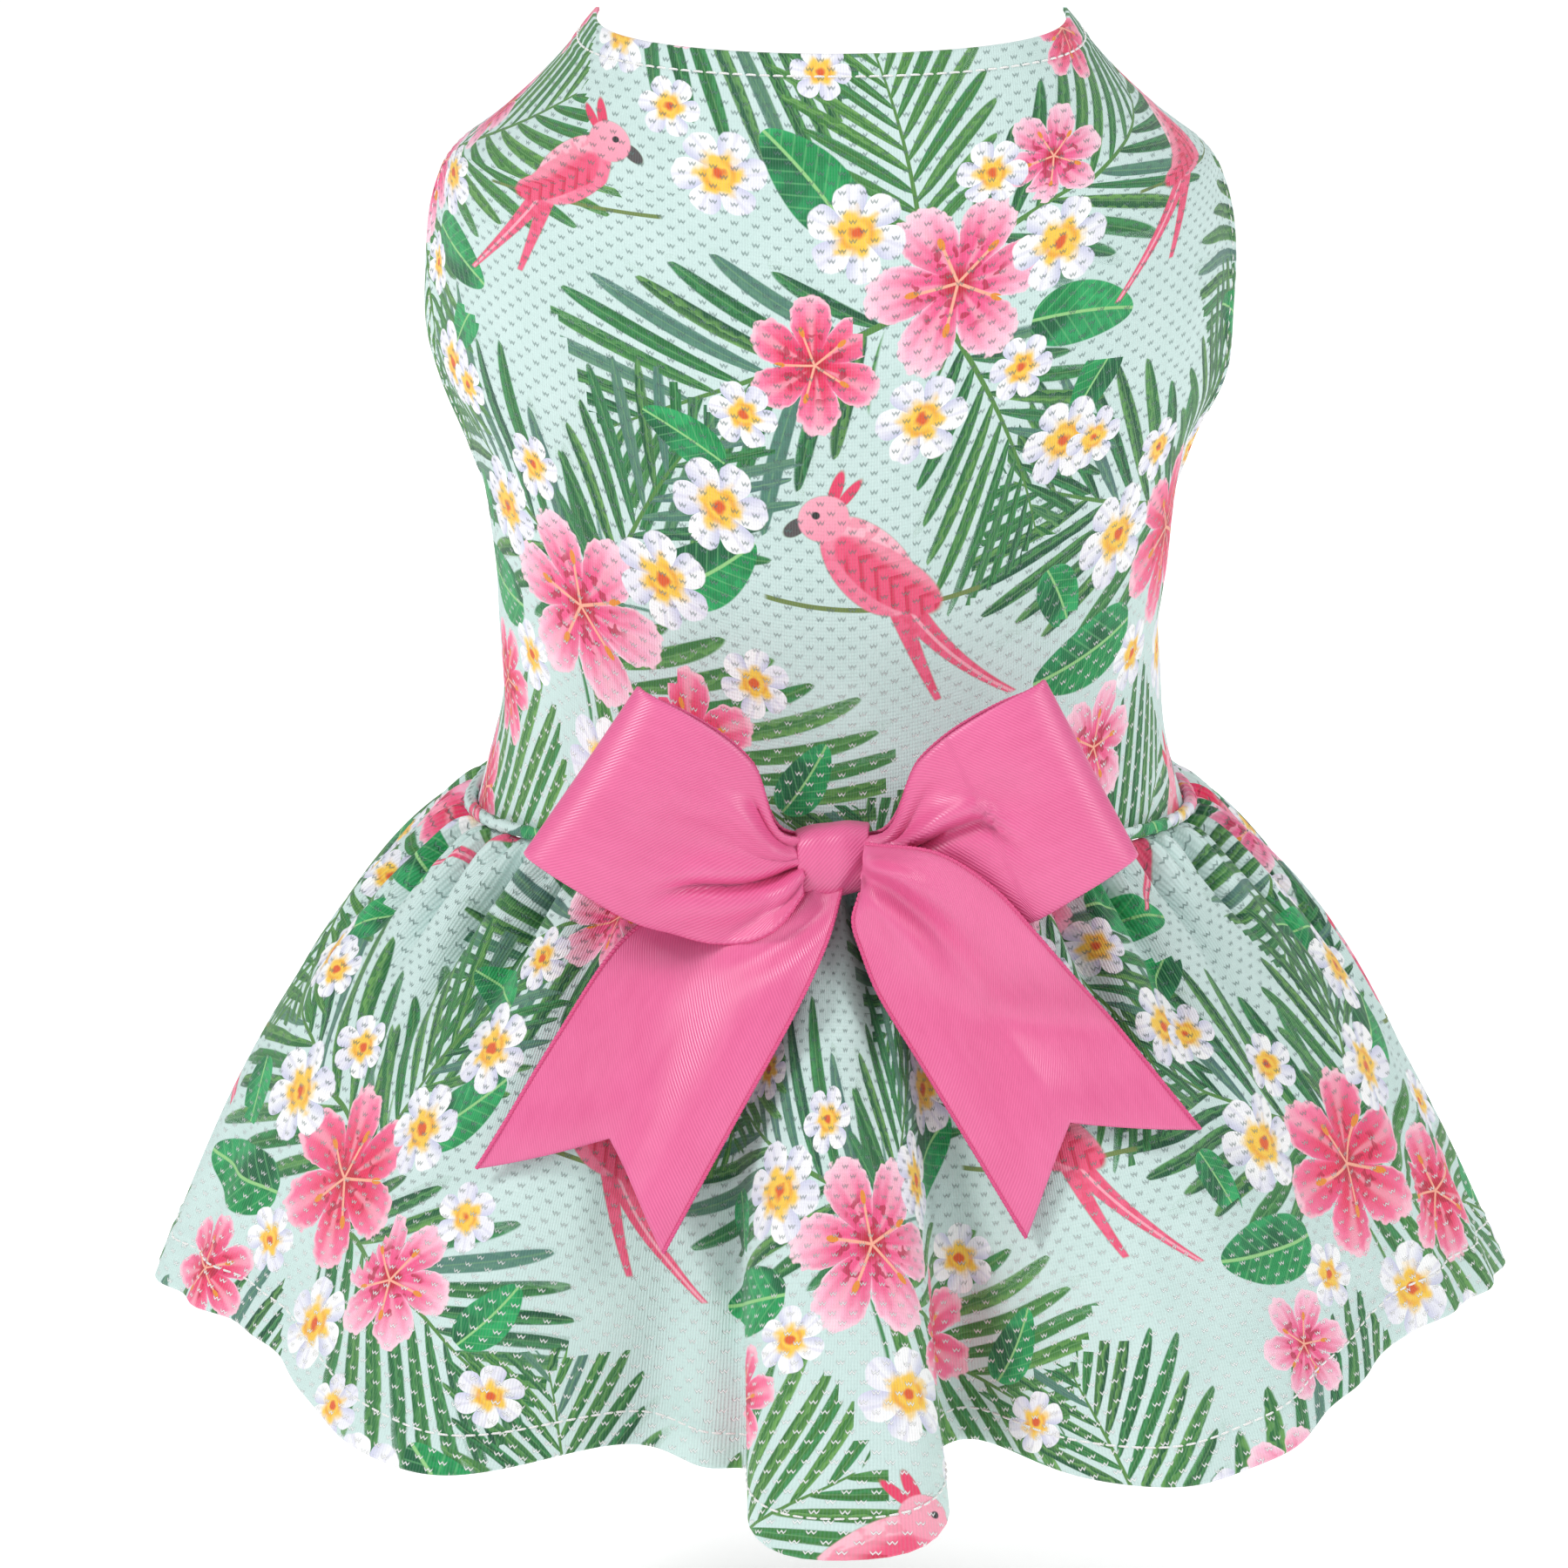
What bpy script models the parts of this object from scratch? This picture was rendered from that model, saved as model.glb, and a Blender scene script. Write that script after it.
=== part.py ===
"""A small dog's sleeveless dress, shaped as it is worn: neck up, back towards -Y.

The origin is the middle of the neck opening. Lengths are in metres and angles in radians.
An angle round the body is 0 at the middle of the back and grows towards +X.
"""

import math
from collections import namedtuple

import bpy
from mathutils import Vector

# Cloth
FABRIC = 0.0012
RIBBON = 0.0010
SEAM_GAP = 0.0003
SEAM_FALL = 0.0007

# Bodice
NECK_WIDTH = 0.0800
NECK_DEPTH = 0.0720
NAPE_DROP = 0.0050
THROAT_DROP = 0.0180
CHEST_WIDTH = 0.1360
CHEST_DEPTH = 0.1040
WAIST_WIDTH = 0.1145
WAIST_DEPTH = 0.0960
WAIST_FLARE = 0.0045
BODICE_LENGTH = 0.1390
BELLY_RISE = 0.0100
BODY_SQUARENESS = 0.05
BELLY_CURVE = 1.5

# Leg holes
LEG_HOLE_DROP = 0.0230
LEG_HOLE_HEIGHT = 0.0620
LEG_HOLE_WIDTH = 0.0480
LEG_HOLE_FLARE = 0.0015
LEG_HOLE_FLARE_REACH = 0.0080
SIDE_SEAM_ANGLE = math.radians(109)
SIDE_SEAM_GAP = 0.0008

# Skirt
SKIRT_BACK_DROP = 0.1010
SKIRT_SIDE_DROP = 0.0790
SKIRT_END_DROP = 0.0620
SKIRT_BACK_FLARE = 0.0270
SKIRT_SIDE_FLARE = 0.0512
SKIRT_BELLY_FLARE = 0.0400
SKIRT_END_ANGLE = math.radians(136)
SKIRT_BACK_CURVE = 1.30
SKIRT_SIDE_CURVE = 1.80
GATHER_PITCH = 0.0105
GATHER_DEPTH = 0.0034
GATHER_PEAK = 0.10
GATHER_REACH = 0.60
FOLD_DEPTH = 0.0240
FOLD_FALL = 0.26
FOLD_START = 0.25
FOLD_CURVE = 1.4
FOLD_TOP_DEPTH = 0.35
FOLD_TOP_RATE = 1.6
FOLD_SPREAD = 1.6

# Waist piping
PIPING_RADIUS = 0.0011

# Bow
RIBBON_WIDTH = 0.0360
KNOT_WIDTH = 0.0122
KNOT_HEIGHT = 0.0124
KNOT_THICKNESS = 0.0090
KNOT_EDGE = 0.0028
KNOT_EDGE_STEPS = 3
LOOP_LENGTH = 0.0390
LOOP_ROOT = 0.0024
LOOP_PUFF = 0.0100
LOOP_CUP = 0.30
LOOP_LIFT = math.radians(23)
LOOP_STAND = 0.0080
LOOP_CLEARANCE = 0.0024
LOOP_TURN_END = 0.4
TAIL_LENGTH = 0.0640
TAIL_NOTCH = 0.0135
TAIL_CLEARANCE = 0.0010
TAIL_TURN_END = 0.3
TAIL_BRIDGE_RADIUS = 0.0150

# How the body's size passes from the neck's to the chest's, and on to the waist's and the seam's.
# level is a share of the bodice's length below the rim, and the others are shares of each change.
Section = namedtuple("Section", "level width depth waist flare")
BODY_SECTIONS = (
    Section(level=-0.08, width=-0.36, depth=-0.20, waist=0.00, flare=0.0),
    Section(level=0.000, width=0.00, depth=0.00, waist=0.00, flare=0.0),
    Section(level=0.066, width=0.28, depth=0.24, waist=0.00, flare=0.0),
    Section(level=0.119, width=0.56, depth=0.42, waist=0.00, flare=0.0),
    Section(level=0.171, width=0.88, depth=0.60, waist=0.00, flare=0.0),
    Section(level=0.215, width=0.96, depth=0.72, waist=0.00, flare=0.0),
    Section(level=0.280, width=1.00, depth=0.88, waist=0.00, flare=0.0),
    Section(level=0.380, width=1.00, depth=1.00, waist=0.01, flare=0.0),
    Section(level=0.457, width=1.00, depth=1.00, waist=0.18, flare=0.0),
    Section(level=0.545, width=1.00, depth=1.00, waist=0.62, flare=0.0),
    Section(level=0.675, width=1.00, depth=1.00, waist=0.88, flare=0.0),
    Section(level=0.850, width=1.00, depth=1.00, waist=1.00, flare=0.0),
    Section(level=1.000, width=1.00, depth=1.00, waist=1.00, flare=1.0),
    Section(level=1.080, width=1.00, depth=1.00, waist=1.00, flare=1.7),
)

# The skirt's large folds. angle is where the fold meets the hem and drift turns it by the waist,
# both in degrees, as is half_width. out is a share of FOLD_DEPTH, and spread widens the crown.
Fold = namedtuple("Fold", "angle half_width out spread drift top")
SKIRT_FOLDS = (
    Fold(angle=-124, half_width=9, out=0.45, spread=0.20, drift=4, top=0.2),
    Fold(angle=-106, half_width=8, out=-0.30, spread=0.00, drift=2, top=0.2),
    Fold(angle=-84, half_width=13, out=0.22, spread=0.10, drift=3, top=0.2),
    Fold(angle=-58, half_width=7, out=-0.10, spread=0.00, drift=6, top=0.9),
    Fold(angle=-34, half_width=12, out=0.56, spread=0.10, drift=4, top=0.3),
    Fold(angle=-19, half_width=8, out=-0.48, spread=0.00, drift=3, top=0.2),
    Fold(angle=2, half_width=8, out=1.00, spread=0.42, drift=-2, top=0.3),
    Fold(angle=14, half_width=7, out=-0.56, spread=0.00, drift=-1, top=0.2),
    Fold(angle=31, half_width=12, out=0.56, spread=0.12, drift=-3, top=0.3),
    Fold(angle=57, half_width=7, out=-0.12, spread=0.00, drift=-5, top=0.9),
    Fold(angle=84, half_width=13, out=0.22, spread=0.10, drift=-3, top=0.2),
    Fold(angle=106, half_width=8, out=-0.30, spread=0.00, drift=-2, top=0.2),
    Fold(angle=124, half_width=9, out=0.45, spread=0.20, drift=-4, top=0.2),
)

# How the gathers' pleats move sideways round the waist, as angles.
Wave = namedtuple("Wave", "size rate start")
GATHER_WANDER = (
    Wave(size=0.9, rate=3.1, start=0.4),
    Wave(size=0.6, rate=7.3, start=1.7),
)

# How far the ribbon reaches to each edge as it leaves the knot, as shares of half its width.
# along is a share of the loop's or the tail's length.
Spread = namedtuple("Spread", "along loop_top loop_foot tail")
RIBBON_SPREAD = (
    Spread(along=0.00, loop_top=0.22, loop_foot=0.26, tail=0.16),
    Spread(along=0.12, loop_top=0.28, loop_foot=0.66, tail=0.50),
    Spread(along=0.28, loop_top=0.56, loop_foot=0.96, tail=0.84),
    Spread(along=0.50, loop_top=0.80, loop_foot=1.06, tail=0.94),
    Spread(along=0.75, loop_top=0.92, loop_foot=0.98, tail=0.98),
    Spread(along=1.00, loop_top=0.96, loop_foot=0.88, tail=1.00),
)

# Each side's own shape: side is -1 at -X, loop_skew turns the loop's outer end, tail_turn is the
# tail's angle from straight down, tail_tilt its cut end's, and tail_bend bows it outwards.
BowSide = namedtuple("BowSide", "name side loop_skew tail_turn tail_tilt tail_bend")
BOW_SIDES = (
    BowSide("left", -1, 0.09, math.radians(36), math.radians(24), 0.03),
    BowSide("right", 1, 0.04, math.radians(40), math.radians(31), 0.06),
)

# Mesh steps
BACK_COLUMNS = 26
BELLY_COLUMNS = 12
SKIRT_COLUMNS = 128
SKIRT_ROWS = 11
SKIRT_ROW_CURVE = 1.15
PIPING_POINTS = 58
LOOP_STEPS = 20
LOOP_COLUMNS = 6
TAIL_STEPS = 10
TAIL_COLUMNS = 6
TAIL_REST_ROWS = 24
TAIL_REST_COLUMNS = 45
TAIL_REST_ANGLE = math.radians(75)

FABRIC_COLOUR = (0.60, 0.76, 0.73, 1.0)
RIBBON_COLOUR = (0.90, 0.19, 0.39, 1.0)
FABRIC_ROUGHNESS = 0.85
RIBBON_ROUGHNESS = 0.38


def ease(share):
    share = min(1.0, max(0.0, share))
    return share * share * (3 - 2 * share)


def mix(start, end, share):
    return start + (end - start) * share


def read_table(rows, place, column, at):
    """A smooth curve through one column of a table, at a place given in another column."""
    places = [getattr(row, place) for row in rows]
    values = [getattr(row, column) for row in rows]
    last = len(rows) - 2
    i = max(0, min(last, sum(p <= at for p in places) - 1))
    slopes = []
    for j in (i, i + 1):
        before, after = max(0, j - 1), min(len(rows) - 1, j + 1)
        slopes.append((values[after] - values[before]) / (places[after] - places[before]))
    span = places[i + 1] - places[i]
    s = min(1.0, max(0.0, (at - places[i]) / span))
    start, end = values[i], values[i + 1]
    return (
        start * (1 + 2 * s) * (1 - s) ** 2
        + end * s * s * (3 - 2 * s)
        + span * (slopes[0] * s * (1 - s) ** 2 - slopes[1] * s * s * (1 - s))
    )


def towards_belly(angle):
    """0 over the back and the sides, rising to 1 at the middle of the belly."""
    return max(0.0, -math.cos(angle)) ** BELLY_CURVE


def rim_height(angle):
    return -NAPE_DROP * max(0.0, math.cos(angle)) - THROAT_DROP * towards_belly(angle)


def seam_height(angle):
    return -BODICE_LENGTH + BELLY_RISE * towards_belly(angle)


def body_half_sizes(height):
    """Half the width and half the depth of the body at a height."""
    level = -height / BODICE_LENGTH
    width_share = read_table(BODY_SECTIONS, "level", "width", level)
    depth_share = read_table(BODY_SECTIONS, "level", "depth", level)
    waist_share = read_table(BODY_SECTIONS, "level", "waist", level)
    flare = WAIST_FLARE * read_table(BODY_SECTIONS, "level", "flare", level)
    half_width = mix(mix(NECK_WIDTH, CHEST_WIDTH, width_share), WAIST_WIDTH, waist_share) / 2
    half_depth = mix(mix(NECK_DEPTH, CHEST_DEPTH, depth_share), WAIST_DEPTH, waist_share) / 2
    return half_width + flare, half_depth + flare


def around(half_width, half_depth, angle):
    """A point of a rounded outline, and the way out from it."""
    sine, cosine = math.sin(angle), math.cos(angle)
    swell = 1 + BODY_SQUARENESS * (2 * sine * cosine) ** 2
    place = Vector((half_width * sine * swell, -half_depth * cosine * swell, 0))
    outward = Vector((sine / half_width, -cosine / half_depth, 0)).normalized()
    return place, outward


def body_point(angle, height, stand_off=0.0):
    half_width, half_depth = body_half_sizes(height)
    place, outward = around(half_width, half_depth, angle)
    return place + outward * stand_off + Vector((0, 0, height))


def leg_hole_share(level):
    """Half the leg hole's width at a level, as a share of the most: 0 above and below the hole."""
    half = LEG_HOLE_HEIGHT / 2
    offset = (level * BODICE_LENGTH - LEG_HOLE_DROP - half) / half
    return math.sqrt(max(0.0, 1 - offset * offset))


def leg_hole_half_angle():
    middle = -LEG_HOLE_DROP - LEG_HOLE_HEIGHT / 2
    half_width, half_depth = body_half_sizes(middle)
    return LEG_HOLE_WIDTH / (half_width + half_depth)


def panel_levels():
    """Rows down a panel, close together where the leg hole opens and closes."""
    top = LEG_HOLE_DROP / BODICE_LENGTH
    bottom = (LEG_HOLE_DROP + LEG_HOLE_HEIGHT) / BODICE_LENGTH
    above = [top * i / 4 for i in range(4)]
    beside = [mix(top, bottom, (1 - math.cos(math.pi * i / 8)) / 2) for i in range(9)]
    below = [mix(bottom, 1.0, i / 6) for i in range(1, 7)]
    return above + beside + below


def bodice_point(angle, level):
    """A point on the bodice's outer face. The cloth stands out a little round the leg holes."""
    height = mix(rim_height(angle), seam_height(angle), level)
    hole_edge = leg_hole_half_angle() * leg_hole_share(level)
    from_edge = max(0.0, abs(abs(angle) - SIDE_SEAM_ANGLE) - hole_edge)
    beside_hole = ease(leg_hole_share(level))
    distance = from_edge * CHEST_WIDTH / 2
    flare = LEG_HOLE_FLARE * beside_hole * math.exp(-((distance / LEG_HOLE_FLARE_REACH) ** 2))
    return body_point(angle, height, flare)


def material(name, colour, roughness):
    made = bpy.data.materials.new(name)
    made.use_nodes = True
    shader = made.node_tree.nodes["Principled BSDF"]
    shader.inputs["Base Color"].default_value = colour
    shader.inputs["Roughness"].default_value = roughness
    shader.inputs["Metallic"].default_value = 0.0
    return made


def add_object(name, data, finish):
    made = bpy.data.objects.new(name, data)
    made.data.materials.append(finish)
    dress.objects.link(made)
    return made


def cloth(name, rows, thickness, finish):
    """A sheet through rows of points that run the same way round, thickened inwards."""
    across = len(rows[0])
    points = [point for row in rows for point in row]
    faces = []
    for j in range(len(rows) - 1):
        for i in range(across - 1):
            corner = j * across + i
            faces.append((corner, corner + across, corner + across + 1, corner + 1))
    mesh = bpy.data.meshes.new(name)
    mesh.from_pydata(points, [], faces)
    mesh.update()
    mesh.shade_smooth()
    made = add_object(name, mesh, finish)
    wall = made.modifiers.new("wall", "SOLIDIFY")
    wall.thickness = thickness
    wall.offset = -1.0
    wall.use_even_offset = True
    return made


def back_panel(finish):
    rows = []
    for level in panel_levels():
        edge = SIDE_SEAM_ANGLE - leg_hole_half_angle() * leg_hole_share(level)
        rows.append(
            [bodice_point(mix(-edge, edge, i / BACK_COLUMNS), level) for i in range(BACK_COLUMNS + 1)]
        )
    return cloth("back_panel", rows, FABRIC, finish)


def belly_panel(finish):
    rows = []
    seam_turn = 2 * SIDE_SEAM_GAP / WAIST_WIDTH
    for level in panel_levels():
        edge = SIDE_SEAM_ANGLE + leg_hole_half_angle() * leg_hole_share(level) + seam_turn
        rows.append([])
        for i in range(BELLY_COLUMNS + 1):
            angle = mix(edge, 2 * math.pi - edge, i / BELLY_COLUMNS)
            if angle > math.pi:
                angle -= 2 * math.pi
            rows[-1].append(bodice_point(angle, level))
    return cloth("belly_panel", rows, FABRIC, finish)


def skirt_drop(angle):
    """How far the hem hangs below the seam."""
    towards_side = math.sin(angle) ** 2
    past_side = max(0.0, abs(angle) - math.pi / 2) / (SKIRT_END_ANGLE - math.pi / 2)
    if past_side > 0:
        return mix(SKIRT_SIDE_DROP, SKIRT_END_DROP, ease(past_side))
    return mix(SKIRT_BACK_DROP, SKIRT_SIDE_DROP, towards_side)


def skirt_base(angle, share):
    """The skirt without its folds: a bell that starts at the seam. Gives a point and the way out."""
    seam_half_width, seam_half_depth = body_half_sizes(-BODICE_LENGTH)
    depth_flare = SKIRT_BACK_FLARE if math.cos(angle) > 0 else SKIRT_BELLY_FLARE
    half_width = seam_half_width + SKIRT_SIDE_FLARE * share
    half_depth = seam_half_depth + depth_flare * share
    place, outward = around(half_width, half_depth, angle)
    curve = mix(SKIRT_BACK_CURVE, SKIRT_SIDE_CURVE, math.sin(angle) ** 2)
    place.z = seam_height(angle) - SEAM_FALL - SEAM_GAP - skirt_drop(angle) * share**curve
    return place, outward


def fold_offsets(angle, share):
    """How far the folds carry the cloth outwards and along the hem, as lengths."""
    out = along = 0.0
    for fold in SKIRT_FOLDS:
        centre = math.radians(fold.angle + fold.drift * (1 - share))
        x = (angle - centre) / math.radians(fold.half_width)
        early = fold.top * math.sin(math.pi * min(1.0, share * FOLD_TOP_RATE)) * FOLD_TOP_DEPTH
        growth = mix(early, 1.0, share**FOLD_CURVE) * ease(share / FOLD_START)
        bump = fold.out * FOLD_DEPTH * growth * math.exp(-x * x)
        out += bump
        along += fold.spread * bump * x * FOLD_SPREAD
    return out, along


def gather_depth(angle, share):
    """The small pleats that the gathered seam presses in, fading out down the skirt."""
    seam_half_width, seam_half_depth = body_half_sizes(-BODICE_LENGTH)
    length = SKIRT_END_ANGLE * (seam_half_width + seam_half_depth)
    pleats = max(1, round(length / GATHER_PITCH))
    turn = 2 * math.pi * pleats * (angle / SKIRT_END_ANGLE + 1) / 2
    wander = sum(wave.size * math.sin(wave.rate * angle + wave.start) for wave in GATHER_WANDER)
    rise = share / GATHER_PEAK
    fade = rise * math.exp(1 - rise) * (1 - ease(share / GATHER_REACH))
    return GATHER_DEPTH * fade * (1 - math.cos(turn + wander)) / 2


def skirt_point(angle, share):
    """Crowns of the folds hang lower than the hollows between them."""
    place, outward = skirt_base(angle, share)
    out, along = fold_offsets(angle, share)
    tangent = Vector((math.cos(angle), math.sin(angle), 0))
    fall = Vector((0, 0, -FOLD_FALL * out * share))
    return place + outward * (out - gather_depth(angle, share)) + tangent * along + fall


def skirt(finish):
    rows = []
    for j in range(SKIRT_ROWS + 1):
        share = (j / SKIRT_ROWS) ** SKIRT_ROW_CURVE
        rows.append(
            [
                skirt_point(mix(-SKIRT_END_ANGLE, SKIRT_END_ANGLE, i / SKIRT_COLUMNS), share)
                for i in range(SKIRT_COLUMNS + 1)
            ]
        )
    return cloth("skirt", rows, FABRIC, finish)


def tube(name, points, radius, finish, corners=2):
    curve = bpy.data.curves.new(name, "CURVE")
    curve.dimensions = "3D"
    curve.bevel_depth = radius
    curve.bevel_resolution = corners
    curve.use_fill_caps = True
    line = curve.splines.new("POLY")
    line.points.add(len(points) - 1)
    for spot, point in zip(line.points, points):
        spot.co = (*point, 1.0)
    return add_object(name, curve, finish)


def waist_piping(finish):
    """The rolled edge that covers the seam, as far round as the skirt goes."""
    points = []
    for i in range(PIPING_POINTS + 1):
        angle = mix(-SKIRT_END_ANGLE, SKIRT_END_ANGLE, i / PIPING_POINTS)
        height = seam_height(angle) + PIPING_RADIUS
        points.append(body_point(angle, height, PIPING_RADIUS + SEAM_GAP))
    return tube("waist_piping", points, PIPING_RADIUS, finish, corners=1)


def knot_centre():
    """The knot lies on the piping at the middle of the back."""
    height = seam_height(0.0) + PIPING_RADIUS
    surface = body_point(0.0, height, 2 * PIPING_RADIUS + 2 * SEAM_GAP)
    return surface + Vector((0, -KNOT_THICKNESS / 2, 0))


def bow_knot(finish):
    bpy.ops.mesh.primitive_cube_add(size=1, location=knot_centre())
    knot = bpy.context.object
    knot.name = knot.data.name = "bow_knot"
    for point in knot.data.vertices:
        point.co.x *= KNOT_WIDTH
        point.co.y *= KNOT_THICKNESS
        point.co.z *= KNOT_HEIGHT
    for collection in list(knot.users_collection):
        collection.objects.unlink(knot)
    dress.objects.link(knot)
    knot.data.materials.append(finish)
    knot.data.shade_smooth()
    rounding = knot.modifiers.new("rounding", "BEVEL")
    rounding.width = KNOT_EDGE
    rounding.segments = KNOT_EDGE_STEPS
    return knot


def front_of_skirt():
    """Points over the part of the skirt that the bow's tails may lie on."""
    points = []
    for j in range(TAIL_REST_ROWS + 1):
        for i in range(-TAIL_REST_COLUMNS, TAIL_REST_COLUMNS + 1):
            points.append(skirt_point(TAIL_REST_ANGLE * i / TAIL_REST_COLUMNS, j / TAIL_REST_ROWS))
    return points


def depth_over(points, x, height):
    """How far towards -Y a ribbon lies at a place, bridging the hollows between fold crowns."""
    return max(
        -point.y - ((point.x - x) ** 2 + (point.z - height) ** 2) / (2 * TAIL_BRIDGE_RADIUS)
        for point in points
    )


def bow_loop(one, rest, finish):
    """The ribbon leaves the knot in front, turns back at its outer end and returns behind."""
    centre = knot_centre()
    start = centre + Vector((one.side * (KNOT_WIDTH / 2 + 2 * SEAM_GAP), 0, 0))
    rows = []
    for j in range(LOOP_STEPS + 1):
        turn = math.pi * j / LOOP_STEPS
        out = math.sin(turn)
        tilt = LOOP_LIFT * ease(out / LOOP_TURN_END)
        along = Vector((one.side * math.cos(tilt), 0, math.sin(tilt)))
        up = Vector((-one.side * math.sin(tilt), 0, math.cos(tilt)))
        top = read_table(RIBBON_SPREAD, "along", "loop_top", out)
        foot = read_table(RIBBON_SPREAD, "along", "loop_foot", out)
        rows.append([])
        for i in range(LOOP_COLUMNS + 1):
            across = mix(-1, 1, i / LOOP_COLUMNS)
            puff = LOOP_PUFF * out * (1 - LOOP_CUP * across * across)
            depth = math.cos(turn) * (LOOP_ROOT + puff) + LOOP_STAND * out
            reach = (LOOP_LENGTH - one.loop_skew * RIBBON_WIDTH * across) * out
            rise = RIBBON_WIDTH / 2 * (top * max(0.0, across) + foot * min(0.0, across))
            place = start + along * reach + up * rise
            over_tail = depth_over(rest, place.x, place.z) + TAIL_CLEARANCE + RIBBON + LOOP_CLEARANCE
            if turn < math.pi / 2:
                over_tail += 2 * RIBBON + SEAM_GAP
            place.y = -max(depth - centre.y, over_tail)
            rows[-1].append(place)
    if one.side > 0:
        rows = [row[::-1] for row in rows]
    return cloth(f"bow_loop_{one.name}", rows, RIBBON, finish)


def bow_tail(one, rest, finish):
    """One cut end of the ribbon, hanging from the knot over the skirt, with a notched end."""
    centre = knot_centre()
    down = Vector((one.side * math.sin(one.tail_turn), 0, -math.cos(one.tail_turn)))
    root_half_width = RIBBON_WIDTH / 2 * RIBBON_SPREAD[0].tail
    root_drop = KNOT_HEIGHT / 2 + SEAM_GAP
    start = centre + Vector((one.side * (root_half_width + SEAM_GAP), 0, -root_drop))
    root_depth = -centre.y - KNOT_THICKNESS / 2 + RIBBON
    rows = []
    for j in range(TAIL_STEPS + 1):
        share = j / TAIL_STEPS
        tilt = one.tail_tilt * ease(share / TAIL_TURN_END)
        across_way = Vector((math.cos(tilt), 0, one.side * math.sin(tilt)))
        bend = one.side * one.tail_bend * TAIL_LENGTH * math.sin(math.pi * share)
        rows.append([])
        for i in range(TAIL_COLUMNS + 1):
            across = mix(-1, 1, i / TAIL_COLUMNS)
            length = (TAIL_LENGTH - TAIL_NOTCH * (1 - abs(across))) * share
            spread = read_table(RIBBON_SPREAD, "along", "tail", length / TAIL_LENGTH)
            place = start + down * length + across_way * (RIBBON_WIDTH / 2 * spread * across + bend)
            place.x = one.side * max(one.side * place.x, SEAM_GAP + RIBBON / 2)
            over_skirt = depth_over(rest, place.x, place.z) + TAIL_CLEARANCE + RIBBON
            leaving = mix(root_depth, over_skirt, ease(share / TAIL_TURN_END))
            rows[-1].append(Vector((place.x, -max(leaving, over_skirt), place.z)))
    return cloth(f"bow_tail_{one.name}", rows, RIBBON, finish)


for old in list(bpy.data.objects):
    bpy.data.objects.remove(old)
dress = bpy.data.collections.new("dog_dress")
bpy.context.scene.collection.children.link(dress)

printed_mesh = material("printed_mesh", FABRIC_COLOUR, FABRIC_ROUGHNESS)
satin_ribbon = material("satin_ribbon", RIBBON_COLOUR, RIBBON_ROUGHNESS)

back_panel(printed_mesh)
belly_panel(printed_mesh)
skirt(printed_mesh)
waist_piping(printed_mesh)
bow_knot(satin_ribbon)
skirt_front = front_of_skirt()
for bow_side in BOW_SIDES:
    bow_loop(bow_side, skirt_front, satin_ribbon)
    bow_tail(bow_side, skirt_front, satin_ribbon)
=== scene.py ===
import itertools
import math
from collections import namedtuple

import bpy
import numpy as np
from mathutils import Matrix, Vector


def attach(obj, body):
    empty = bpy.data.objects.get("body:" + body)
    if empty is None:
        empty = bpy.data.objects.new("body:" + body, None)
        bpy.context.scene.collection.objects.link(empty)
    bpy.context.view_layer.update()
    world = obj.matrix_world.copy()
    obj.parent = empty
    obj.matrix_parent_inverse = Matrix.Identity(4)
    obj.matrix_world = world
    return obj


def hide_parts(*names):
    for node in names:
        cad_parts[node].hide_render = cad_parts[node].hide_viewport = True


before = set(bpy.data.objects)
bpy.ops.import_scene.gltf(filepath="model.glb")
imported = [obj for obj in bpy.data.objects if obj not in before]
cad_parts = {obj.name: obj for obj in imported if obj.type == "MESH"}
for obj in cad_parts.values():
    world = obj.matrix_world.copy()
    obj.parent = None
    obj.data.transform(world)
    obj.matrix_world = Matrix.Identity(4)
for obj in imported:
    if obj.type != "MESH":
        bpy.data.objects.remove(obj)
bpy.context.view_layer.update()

# Camera: level with the dress, looking a little down on its back.
view = {
    "distance": 1.4,
    "elevation": math.radians(10),
    "frameWidth": 0.2741,
    "target": (-0.0081, 0.0, -0.1356),
    "sensor": 36.0,
}

# The body's sizes, as in the solids.
body = {
    "neckWidth": 0.0800,
    "neckDepth": 0.0720,
    "napeDrop": 0.0050,
    "throatDrop": 0.0180,
    "chestWidth": 0.1360,
    "chestDepth": 0.1040,
    "waistWidth": 0.1145,
    "waistDepth": 0.0960,
    "waistFlare": 0.0045,
    "length": 0.1390,
    "bellyRise": 0.0100,
    "squareness": 0.05,
    "holeDrop": 0.0230,
    "holeHeight": 0.0620,
    "holeWidth": 0.0480,
    "holeFlare": 0.0015,
    "holeFlareReach": 0.0080,
    "seamAngle": math.radians(109),
    "bellyCurve": 1.5,
    "seamRadius": 0.0620,
    "seamGroove": 0.0004,
    "seamGrooveWidth": 0.0009,
}

# Slack in the bodice: how much the cloth wrinkles at the waist and under the arms, and where.
slack = {
    "waist": 0.00042,
    "ripple": 0.00022,
    "shoulder": 0.00040,
    "waistLevel": 0.80,
    "waistReach": 0.13,
    "shoulderLevel": 0.42,
    "shoulderReach": 0.10,
}

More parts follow.
